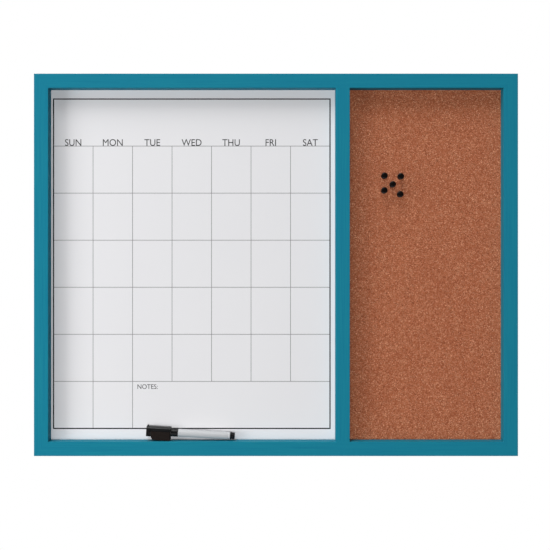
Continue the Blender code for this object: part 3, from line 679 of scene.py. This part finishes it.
def rounded(corners, steps=6):
    """The outline through (u, v, radius) corners; a radius of 0 leaves the corner sharp."""
    points = []
    for i, (u, v, radius) in enumerate(corners):
        corner = Vector((u, v))
        if radius == 0:
            points.append((u, v))
            continue
        before = (Vector(corners[i - 1][:2]) - corner).normalized()
        after = (Vector(corners[(i + 1) % len(corners)][:2]) - corner).normalized()
        half = before.angle(after) / 2
        centre = corner + (before + after).normalized() * radius / math.sin(half)
        first = corner + before * radius / math.tan(half) - centre
        last = corner + after * radius / math.tan(half) - centre
        start = math.atan2(first.y, first.x)
        sweep = (math.atan2(last.y, last.x) - start + math.pi) % math.tau - math.pi
        points += arc(centre, radius, start, start + sweep, steps)
    return points


def skin(bm, loops):
    """Faces from each closed loop of vertices to the next, and from the last to the first."""
    for first, second in zip(loops, loops[1:] + loops[:1]):
        for i in range(len(first)):
            corners = tuple(dict.fromkeys((first[i - 1], first[i], second[i], second[i - 1])))
            if len(corners) > 2:
                bm.faces.new(corners)


def add_turned(bm, profile, place, sides=ROUND_SIDES):
    """Adds a solid turned about the place's X axis.

    The (along, radius) points go once round its half section.
    """
    loops = []
    for along_axis, radius in profile:
        if radius < WELD:
            loops.append([bm.verts.new(place @ Vector((along_axis, 0, 0)))] * sides)
            continue
        spokes = [i * math.tau / sides for i in range(sides)]
        ring = [Vector((along_axis, radius * math.cos(turn), radius * math.sin(turn))) for turn in spokes]
        loops.append([bm.verts.new(place @ point) for point in ring])
    skin(bm, loops)


def turned_stand_in(node, corners, place, materials, steps=6, sides=ROUND_SIDES):
    """A stand-in turned from the (along, radius, rounding) corners of its half section."""
    bm = bmesh.new()
    add_turned(bm, rounded(corners, steps), place, sides)
    stand_in(node, bm, materials)


def facing(origin, direction):
    """A place whose X axis points along a direction, with Z kept upright."""
    return Matrix.Translation(origin) @ direction.to_track_quat("X", "Z").to_matrix().to_4x4()


def square_to_wall(node, towards):
    """The radius and length of a round node that lies along Y, and a place at its root.

    The place's X axis runs towards the wall for 1, and away from it for -1.
    """
    low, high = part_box(node)
    middle = centre_of(node)
    root = Vector((middle.x, low.y if towards > 0 else high.y, middle.z))
    return (high.x - low.x) / 2, high.y - low.y, facing(root, Vector((0, towards, 0)))


# ---- painted joints


FILLER_THICKNESS = 0.45 * MM
FILLER_SINK = 0.05 * MM
FRAME_ARRIS = 0.6 * MM


def joint_filler(name, outline, span, made, place=Matrix()):
    """A plate of filler between two pieces of the frame.

    Its outline lies in the place's XY plane, and it reaches over the span along Z.
    """
    bm = bmesh.new()
    loops = [[bm.verts.new(place @ Vector((u, v, height))) for u, v in outline] for height in span]
    for i in range(len(outline)):
        bm.faces.new((loops[0][i - 1], loops[0][i], loops[1][i], loops[1][i - 1]))
    bm.faces.new(loops[0])
    bm.faces.new(loops[1])
    filler = piece(name, bm, made, "board")


def mitre_fillers(made):
    """Filler in each mitre, a hair below the paint on both sides."""
    z_low, z_high = CALENDAR_WINDOW[2:]
    inner = {-1: (CALENDAR_WINDOW[0], z_low), 1: (CORK_WINDOW[1], z_high)}
    front = FRONT_Y + FILLER_SINK
    back = PANEL_Y - FILLER_SINK
    forward = Vector((0, 1, 0))
    for end, z_side in (("bottom", -1), ("top", 1)):
        for side, x_side in (("left", -1), ("right", 1)):
            outer_corner = Vector((x_side * BOARD_HIGH.x, 0, z_side * BOARD_HIGH.z))
            inner_corner = Vector((inner[x_side][0], 0, inner[z_side][1]))
            across_rail = inner_corner - outer_corner
            inward = across_rail.normalized()
            turn = Matrix((inward, forward, inward.cross(forward))).transposed().to_4x4()
            start = FILLER_THICKNESS / 2 + 2 * FILLER_SINK
            stop = across_rail.length - FILLER_SINK
            slant = FRAME_ARRIS * math.sqrt(2)
            outline = [
                (start, front + FRAME_ARRIS),
                (start + slant, front),
                (stop - slant, front),
                (stop, front + FRAME_ARRIS),
                (stop, back),
                (start, back),
            ]
            span = (-FILLER_THICKNESS / 2, FILLER_THICKNESS / 2)
            place = Matrix.Translation(outer_corner) @ turn
            joint_filler(f"mitre_filler_{end}_{side}", outline, span, made, place)


def mullion_fillers(made):
    """Filler where the mullion meets the top and bottom rails, over their rounded arris."""
    low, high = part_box("centre_mullion")
    x_low = low.x + FILLER_SINK
    x_high = high.x - FILLER_SINK
    front = FRONT_Y + FILLER_SINK
    back = PANEL_Y - FILLER_SINK
    arris = FRAME_ARRIS
    corners = [(x_low, front, arris), (x_high, front, arris), (x_high, back, 0), (x_low, back, 0)]
    outline = rounded(corners, steps=3)
    for end, z, away in (("bottom", CORK_WINDOW[2], -1), ("top", CORK_WINDOW[3], 1)):
        span = (z - away * FILLER_THICKNESS, z + away * (FRAME_ARRIS + FILLER_THICKNESS / 2))
        joint_filler(f"mullion_filler_{end}", outline, span, made)


# ---- calendar print


def print_area():
    """The border's middle line: (x low, x high, z low, z high)."""
    x_low, x_high, z_low, z_high = CALENDAR_WINDOW
    return (
        x_low + PRINT_MARGIN["left"],
        x_high - PRINT_MARGIN["right"],
        z_low + PRINT_MARGIN["bottom"],
        z_high - PRINT_MARGIN["top"],
    )


def print_cell():
    """A cell's width and height."""
    x_low, x_high, z_low, z_high = print_area()
    return (x_high - x_low) / PRINT_CELLS, (z_high - z_low) / PRINT_CELLS


def ink_depth():
    return PANEL_Y - INK_RELIEF, PANEL_Y + INK_ROOT


def calendar_border(made):
    """A frame of ink with mitred corners."""
    x_low, x_high, z_low, z_high = print_area()
    front, back = ink_depth()
    half = BORDER_LINE / 2
    bm = bmesh.new()
    loops = []
    for y, grow in ((front, half), (front, -half), (back, -half), (back, half)):
        corners = [
            (x_low - grow, z_low - grow),
            (x_high + grow, z_low - grow),
            (x_high + grow, z_high + grow),
            (x_low - grow, z_high + grow),
        ]
        loops.append([bm.verts.new((x, y, z)) for x, z in corners])
    skin(bm, loops)
    piece("calendar_border", bm, made, "board")


def calendar_rules(made):
    """The grid: lines across between the rows, and uprights between the columns."""
    x_low, x_high, _, z_high = print_area()
    column, row = print_cell()
    half = RULE_LINE / 2
    edge = BORDER_LINE / 2
    depth = ink_depth()
    bm = bmesh.new()
    for line in range(1, PRINT_CELLS):
        z = z_high - line * row
        add_box(bm, (x_low + edge, x_high - edge), depth, (z - half, z + half))
        last = line == PRINT_CELLS - 1
        foot = z - row + (edge if last else half)
        for upright in range(1, NOTES_FROM_COLUMN + 1 if last else PRINT_CELLS):
            x = x_low + upright * column
            add_box(bm, (x - half, x + half), depth, (foot, z - half))
    piece("calendar_rules", bm, made, "board")


def lettering(bm, text, size, x, z, align):
    """Adds one word, standing on z, to the bmesh as thin solid letters."""
    curve = bpy.data.curves.new(text, "FONT")
    curve.body = text
    curve.size = size
    curve.align_x = align
    curve.extrude = (INK_RELIEF + INK_ROOT) / 2
    helper = linked(text, curve)
    bpy.context.view_layer.update()
    mesh = evaluated(helper)
    bpy.data.curves.remove(curve)
    place = Matrix.Translation((x, sum(ink_depth()) / 2, z))
    upright = Matrix.Rotation(math.pi / 2, 4, "X")
    mesh.transform(place @ upright @ Matrix.Diagonal((LETTER_WIDTH, 1, 1, 1)))
    bm.from_mesh(mesh)
    bpy.data.meshes.remove(mesh)
    bmesh.ops.remove_doubles(bm, verts=bm.verts[:], dist=WELD)


def weekday_names(made):
    """The names of the days, each standing on the first rule."""
    x_low, _, _, z_high = print_area()
    column, row = print_cell()
    baseline = z_high - row + RULE_LINE / 2
    bm = bmesh.new()
    for number, day in enumerate(WEEKDAYS):
        lettering(bm, day, WEEKDAY_SIZE, x_low + (number + 0.5) * column, baseline, "CENTER")
    piece("weekday_names", bm, made, "board")


def notes_word(made):
    """The word in the top left corner of the space for notes."""
    x_low, _, z_low, _ = print_area()
    column, row = print_cell()
    x = x_low + NOTES_FROM_COLUMN * column + NOTES_INDENT
    baseline = z_low + row - NOTES_DROP - CAPITAL_HEIGHT * NOTES_SIZE
    bm = bmesh.new()
    lettering(bm, "NOTES:", NOTES_SIZE, x, baseline, "LEFT")
    piece("notes_word", bm, made, "board")


# ---- cork


def cork_depth(x, z):
    """How far a point of the cork's face lies below its highest level."""
    nearest, second = noise.voronoi(Vector((x, 0, z)) / CORK_GRAIN)[0][:2]
    seam = max(0.0, 1.0 - (second - nearest) * CORK_SEAM_SHARPNESS)
    rolling = 0.5 + 0.5 * noise.noise(Vector((x, 0, z)) / CORK_ROLL)
    pit = max(0.0, noise.noise(Vector((x, 5, z)) / CORK_PIT_SPACING) - CORK_PIT_ONSET) * CORK_PIT_SLOPE
    return CORK_RELIEF * (0.7 * seam + 0.3 * rolling) + CORK_PIT * min(pit, 1.0)


def needle_holes(front, back):
    """The holes that the pins' needles make through the cork."""
    bm = bmesh.new()
    for number in range(1, PIN_COUNT + 1):
        radius, _, place = square_to_wall(f"pin_needle_{number}", 1)
        radius += NEEDLE_CLEARANCE
        place.translation.y = front
        stop = back - front + MM
        add_turned(bm, [(-MM, 0), (-MM, radius), (stop, radius), (stop, 0)], place, NEEDLE_SIDES)
    return bm


def cork_panel(made):
    """The cork sheet with its grains and pits in relief: a fine grid in front, closed behind.

    It is all flat triangles before the holes are cut, which keeps the cuts clean.
    """
    low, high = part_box("cork_sheet")
    columns = round((high.x - low.x) / CORK_STEP)
    rows = round((high.z - low.z) / CORK_STEP)
    bm = bmesh.new()
    grid = []
    for j in range(rows + 1):
        z = low.z + (high.z - low.z) * j / rows
        row = []
        for i in range(columns + 1):
            x = low.x + (high.x - low.x) * i / columns
            row.append(bm.verts.new((x, low.y + cork_depth(x, z), z)))
        grid.append(row)
    for lower, upper in zip(grid, grid[1:]):
        for i in range(columns):
            bm.faces.new((lower[i], lower[i + 1], upper[i + 1], upper[i]))
    rim = [edge for edge in bm.edges if edge.is_boundary]
    walls = bmesh.ops.extrude_edge_only(bm, edges=rim)["geom"]
    for vertex in (item for item in walls if isinstance(item, bmesh.types.BMVert)):
        vertex.co.y = high.y
    bmesh.ops.holes_fill(bm, edges=[edge for edge in bm.edges if edge.is_boundary], sides=0)
    bmesh.ops.triangulate(bm, faces=bm.faces[:])
    panel = piece("cork_panel", carved(bm, [needle_holes(low.y, high.y)]), made, "board", smooth_below=60)
    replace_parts(panel, "cork_sheet")


# ---- push pins


def push_pin(number, materials):
    """A moulded grip with a dished crown, and its steel needle."""
    radius, height, place = square_to_wall(f"pin_head_{number}", -1)
    grip = [
        (0, 0, 0),
        (0, 0.88 * radius, 0.3 * MM),
        (0.10 * height, 0.95 * radius, 0.5 * MM),
        (0.19 * height, 0.56 * radius, 1.2 * MM),
        (0.58 * height, 0.54 * radius, 4.0 * MM),
        (0.80 * height, 1.00 * radius, 1.4 * MM),
        (0.93 * height, 1.00 * radius, 0.9 * MM),
        (1.00 * height, 0.72 * radius, 0.8 * MM),
        (0.985 * height, 0.15 * radius, 0.3 * MM),
        (1.00 * height, 0, 0),
    ]
    turned_stand_in(f"pin_head_{number}", grip, place, materials)

    radius, length, place = square_to_wall(f"pin_needle_{number}", 1)
    needle = [(0, 0, 0), (0, radius, 0.15 * MM), (0.80 * length, radius, 2.0 * MM), (length, 0, 0)]
    turned_stand_in(f"pin_needle_{number}", needle, place, materials, sides=NEEDLE_SIDES)


# ---- marker


FIT = 0.3 * MM
NECK_BORE = 3.7 * MM
NECK_RADIUS = 4.7 * MM
BARREL_BORE = 4.9 * MM
BARREL_WALL_STEP = 1.5 * MM
BARREL_GROOVE_SETBACK = 3.4 * MM
BARREL_GROOVE_DEPTH = 0.25 * MM
BARREL_GROOVE_SLOPE = 0.4 * MM
BARREL_GROOVE_FLOOR = 0.5 * MM
SPIGOT_RADIUS = 4.6 * MM
PLUG_LIP_RADIUS = 5.4 * MM
PLUG_LIP = 1.6 * MM
PLUG_RADIUS = 4.8 * MM
PLUG_DISH = 0.4 * MM
CAP_MOUTH_RADIUS = 6.05 * MM
CAP_GROOVE_WIDTH = 0.8 * MM
CAP_GROOVE_DEPTH = 0.9 * MM
CAP_RING_WIDTH = 0.8 * MM
CAP_RING_DEPTH = 0.35 * MM
CAP_RING_PITCH = 2.0 * MM
CAP_RING_START = 2.6 * MM  # past the felt
CAP_RING_STOP = 1.5 * MM  # before the mouth
FELT_TOP = 1.4 * MM
FELT_STEP = 0.4 * MM
FELT_TUFT = 1.1 * MM
FELT_FIBRE = 0.45 * MM
FELT_NAP = 0.14 * MM
FELT_SETBACK = 0.12 * MM
NOZZLE_TAPER = 3.0 * MM


def marker_along():
    """The marker's direction, from its capped end to its far end."""
    joint = next(joint for joint in frame["record"]["behaviour"]["joints"] if joint["name"] == "cap_pull")
    return -Vector(joint["axis"]).normalized()


def marker_origin():
    """A point on the marker's axis: the middle of its reservoir, an even cylinder."""
    return centre_of("ink_reservoir")


def marker_place():
    """The marker's own frame: X along it, and Z towards its upper side."""
    return facing(marker_origin(), marker_along())


def marker_span(node):
    """Where a node of the marker starts and ends along its axis."""
    origin = marker_origin()
    direction = marker_along()
    stations = [(vertex.co - origin).dot(direction) for vertex in frame["nodes"][node].data.vertices]
    return min(stations), max(stations)


def marker_barrel(materials):
    """The tube: a neck for the cap, a shoulder, and a rolled groove near the far end."""
    start, end = marker_span("marker_barrel")
    shoulder = marker_span("marker_cap")[1] + FIT
    radius = across("marker_barrel")
    groove = end - BARREL_GROOVE_SETBACK
    groove_floor = groove + BARREL_GROOVE_SLOPE
    groove_end = groove_floor + BARREL_GROOVE_FLOOR + BARREL_GROOVE_SLOPE
    step = shoulder + BARREL_WALL_STEP
    section = [
        (start, NECK_BORE, 0.15 * MM),
        (start, NECK_RADIUS, 0.5 * MM),
        (shoulder, NECK_RADIUS, 0.2 * MM),
        (shoulder, radius, 0.5 * MM),
        (groove, radius, 0.2 * MM),
        (groove_floor, radius - BARREL_GROOVE_DEPTH, 0.2 * MM),
        (groove_floor + BARREL_GROOVE_FLOOR, radius - BARREL_GROOVE_DEPTH, 0.2 * MM),
        (groove_end, radius, 0.2 * MM),
        (end, radius, 0.5 * MM),
        (end, BARREL_BORE, 0.1 * MM),
        (step, BARREL_BORE, 0),
        (step, NECK_BORE, 0),
    ]
    turned_stand_in("marker_barrel", section, marker_place(), materials, steps=4)


def marker_plug(materials):
    """The end plug: a spigot inside the tube, a lip, and a button with a shallow dish."""
    start, end = marker_span("marker_end_plug")
    seat = marker_span("marker_barrel")[1] + FIT
    lip_end = seat + PLUG_LIP
    section = [
        (start, 0, 0),
        (start, SPIGOT_RADIUS, 0.6 * MM),
        (seat, SPIGOT_RADIUS, 0),
        (seat, PLUG_LIP_RADIUS, 0.35 * MM),
        (lip_end, PLUG_LIP_RADIUS, 0.35 * MM),
        (lip_end, PLUG_RADIUS, 0.2 * MM),
        (end, PLUG_RADIUS, 1.3 * MM),
        (end, 0.55 * PLUG_RADIUS, 0.2 * MM),
        (end - PLUG_DISH, 0.45 * PLUG_RADIUS, 0.2 * MM),
        (end - PLUG_DISH, 0, 0),
    ]
    turned_stand_in("marker_end_plug", section, marker_place(), materials, steps=5)


def marker_cap(materials):
    """The cap: its CAD shape with a groove above the felt, and rings round the mouth."""
    place = marker_place()
    start, end = marker_span("marker_cap")
    felt_end = marker_span("cap_eraser")[1]
    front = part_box("marker_cap")[0].y - marker_origin().y
    groove = bmesh.new()
    bed = FELT_TOP + FIT
    reach = (start - FIT, felt_end + FIT)
    add_box(groove, reach, (front - FIT, front + CAP_GROOVE_DEPTH), (bed, bed + CAP_GROOVE_WIDTH), place)
    rings = bmesh.new()
    ring = felt_end + CAP_RING_START
    while ring < end - CAP_RING_STOP:
        hollow = [
            (ring, CAP_MOUTH_RADIUS - CAP_RING_DEPTH),
            (ring, CAP_MOUTH_RADIUS + FIT),
            (ring + CAP_RING_WIDTH, CAP_MOUTH_RADIUS + FIT),
            (ring + CAP_RING_WIDTH, CAP_MOUTH_RADIUS - CAP_RING_DEPTH),
        ]
        add_turned(rings, hollow, place)
        ring += CAP_RING_PITCH
    bm = welded("marker_cap")
    ease_edges(bm, width=0.3 * MM)
    even_shading(stand_in("marker_cap", carved(bm, [groove, rings]), materials))


def across(node):
    """The radius of a round node that lies level: half its depth from front to back."""
    low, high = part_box(node)
    return (high.y - low.y) / 2


def marker_tip(materials):
    """The bullet-shaped nib, and the nozzle that tapers to it."""
    nib_radius = across("marker_nib")
    start, end = marker_span("marker_nib")
    nib = [
        (start, 0, 0),
        (start, nib_radius, 0.8 * nib_radius),
        (end, nib_radius, 0),
        (end, 0, 0),
    ]
    turned_stand_in("marker_nib", nib, marker_place(), materials)

    radius = across("marker_nozzle")
    start, end = marker_span("marker_nozzle")
    nozzle = [
        (start, nib_radius + FIT, 0),
        (start, nib_radius + 3 * FIT, 0.3 * MM),
        (start + NOZZLE_TAPER, radius, 1.5 * MM),
        (end, radius, 0.2 * MM),
        (end, nib_radius + FIT, 0),
    ]
    turned_stand_in("marker_nozzle", nozzle, marker_place(), materials)


def felt_eraser(materials):
    """The felt, with soft edges and an uneven nap."""
    block = linked("felt", mesh_from("felt", welded("cap_eraser")))
    remesh = block.modifiers.new("even mesh", "REMESH")
    remesh.mode = "VOXEL"
    remesh.voxel_size = FELT_STEP
    bm = bmesh_from(evaluated(block))
    all_axes = {"use_axis_x": True, "use_axis_y": True, "use_axis_z": True}
    bmesh.ops.smooth_vert(bm, verts=bm.verts, factor=0.5, **all_axes)
    bm.normal_update()
    for vertex in bm.verts:
        nap = noise.noise(vertex.co / FELT_TUFT) + 0.6 * noise.noise(vertex.co / FELT_FIBRE)
        vertex.co += vertex.normal * (FELT_NAP * nap - FELT_SETBACK)
    stand_in("cap_eraser", bm, materials, smooth_below=180)


def marker(materials):
    marker_barrel(materials)
    marker_plug(materials)
    marker_cap(materials)
    felt_eraser(materials)
    marker_tip(materials)
    eased("cap_magnet", materials, width=0.15 * MM)


# ---- hardware on the back


def add_ring_of_wire(bm, path, radius, sides=24):
    """Round wire along a closed path in an XZ plane."""
    loops = []
    for i, point in enumerate(path):
        ahead = (path[(i + 1) % len(path)] - path[i - 1]).normalized()
        aside = ahead.cross(Vector((0, 1, 0)))
        ring = []
        for side in range(sides):
            turn = side * math.tau / sides
            offset = aside * radius * math.cos(turn) + Vector((0, radius * math.sin(turn), 0))
            ring.append(bm.verts.new(point + offset))
        loops.append(ring)
    skin(bm, loops)


def d_ring(node, materials):
    """A bent wire ring: a straight bar in the strap's knuckle, and a round bow."""
    low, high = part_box(node)
    wire = (high.y - low.y) / 2
    half = (high.x - low.x) / 2 - wire
    middle = centre_of(node)
    top = high.z - wire
    bottom = low.z + wire
    bend = 1.5 * MM
    bow = half * 0.999  # just under a half circle, so that the two corners don't meet
    corners = [(-half, top, bend), (half, top, bend), (half, bottom, bow), (-half, bottom, bow)]
    path = [Vector((middle.x + x, middle.y, z)) for x, z in rounded(corners, steps=12)]
    bm = bmesh.new()
    add_ring_of_wire(bm, path, wire)
    stand_in(node, bm, materials, smooth_below=180)


def wall_bumper(node, materials):
    """A domed self-adhesive bumper."""
    radius, height, place = square_to_wall(node, 1)
    section = [
        (0, 0, 0),
        (0, radius, 0.2 * MM),
        (0.55 * height, 0.96 * radius, 0.8 * MM),
        (height, 0.72 * radius, 1.2 * MM),
        (height, 0, 0),
    ]
    turned_stand_in(node, section, place, materials)


def hardware(materials):
    """Metal, rubber and the calendar's sheets; most keep the CAD's shape, with eased edges."""
    eased("dry_erase_sheet", materials, width=0.2 * MM)
    eased("dry_erase_backing", materials, width=0.4 * MM)
    for node in frame["nodes"]:
        if node.startswith("d_ring"):
            d_ring(node, materials)
        elif node.startswith("wall_bumper"):
            wall_bumper(node, materials)
        elif "_tab_" in node or node.startswith(("corner_nail", "hanger_strap", "hanger_screw")):
            eased(node, materials, width=0.12 * MM)


# ---- view and light


FLOOR_Z = -1.5
FLOOR_RADIUS = 2.9
AMBIENT = 0.06


def stage_floor():
    """A pale disc below the board, which sends no light up to it."""
    bm = bmesh.new()
    centre = Matrix.Translation((0, 0, FLOOR_Z))
    bmesh.ops.create_circle(bm, cap_ends=True, segments=96, radius=FLOOR_RADIUS, matrix=centre)
    mesh = bpy.data.meshes.new("studio_floor")
    bm.to_mesh(mesh)
    bm.free()
    made, tree = material("pale_floor", Roughness=0.9, Emission_Strength=0.5)
    shader = tree.nodes["Principled BSDF"]
    shader.inputs["Emission Color"].default_value = (1, 1, 1, 1)
    clouds = cloud(tree, 3.0, 2.0)
    shade = ramp(tree, clouds, (0.3, (0.9, 0.9, 0.9)), (0.7, (0.93, 0.93, 0.93)))
    mesh.materials.append(connect(made, colour=shade))
    floor = linked("studio_floor", mesh)
    floor.visible_diffuse = False


def studio_world():
    """White behind the board, and a dimmer even light on it from all round."""
    world = bpy.data.worlds.new("studio")
    world.use_nodes = True
    tree = world.node_tree
    tree.nodes.clear()
    seen = add(tree, "Background", {"Color": (1, 1, 1, 1), "Strength": 1.0})
    lighting = add(tree, "Background", {"Color": (0.96, 0.98, 1.0, 1), "Strength": AMBIENT})
    to_camera = add(tree, "LightPath").outputs["Is Camera Ray"]
    mix = add(tree, "MixShader", {0: to_camera, 1: lighting.outputs[0], 2: seen.outputs[0]})
    add(tree, "OutputWorld", {"Surface": mix.outputs[0]})
    bpy.context.scene.world = world


def softbox(name, tilt, clock, distance, size, power):
    """A square area light that faces the board's middle.

    Both angles are in degrees: tilt from straight in front, and clock clockwise from upright.
    """
    light = bpy.data.lights.new(name, "AREA")
    light.size = size
    light.energy = power
    obj = linked(name, light)
    out = math.sin(math.radians(tilt))
    turn = math.radians(clock)
    away = Vector((out * math.sin(turn), -math.cos(math.radians(tilt)), out * math.cos(turn)))
    obj.location = away * distance
    obj.rotation_euler = (-away).to_track_quat("-Z", "Y").to_euler()
    return obj


def lights():
    """Soft light from above and from the left, with a fill from the camera's side.

    The fill and the left light leave no glare on the dry-erase sheet.
    """
    softbox("front_fill", 6, 180, 3.6, 0.6, 57.0).visible_glossy = False
    softbox("left", 65, -97, 2.4, 0.9, 27.0).visible_glossy = False
    softbox("upper_left", 65, -45, 5.0, 1.9, 58.0)
    softbox("overhead", 65, -12, 7.0, 2.7, 226.0)
    softbox("overhead_grazing", 76, -12, 7.0, 2.7, 80.0)
    softbox("rear_left", 138, -55, 2.6, 1.6, 80.0)
    softbox("rear_right", 138, 75, 2.6, 1.6, 40.0)


def camera():
    """Square on to the board, with the lens that gives it its share of the picture."""
    data = bpy.data.cameras.new("camera")
    data.sensor_width = SENSOR
    picture_width = (BOARD_HIGH.x - BOARD_LOW.x) / BOARD_SHARE
    data.lens = SENSOR * CAMERA_DISTANCE / picture_width
    data.shift_x, data.shift_y = VIEW_SHIFT
    obj = linked("camera", data)
    centre = (BOARD_LOW + BOARD_HIGH) / 2
    obj.location = (centre.x, FRONT_Y - CAMERA_DISTANCE, centre.z)
    obj.rotation_euler = (math.pi / 2, 0, 0)
    bpy.context.scene.camera = obj


def colour_management():
    """Plain display colours, so that white paper stays white."""
    settings = bpy.context.scene.view_settings
    settings.view_transform = "Standard"
    settings.look = "None"


# ---- making


def main():
    camera()
    colour_management()
    studio_world()
    lights()
    stage_floor()
    materials = make_materials()
    dress_nodes(materials)
    calendar_border(materials["border_ink"])
    calendar_rules(materials["rule_ink"])
    weekday_names(materials["label_ink"])
    notes_word(materials["notes_ink"])
    cork_panel(materials["cork"])
    mitre_fillers(materials["painted_wood"])
    mullion_fillers(materials["painted_wood"])
    for number in range(1, PIN_COUNT + 1):
        push_pin(number, materials)
    marker(materials)
    hardware(materials)


main()
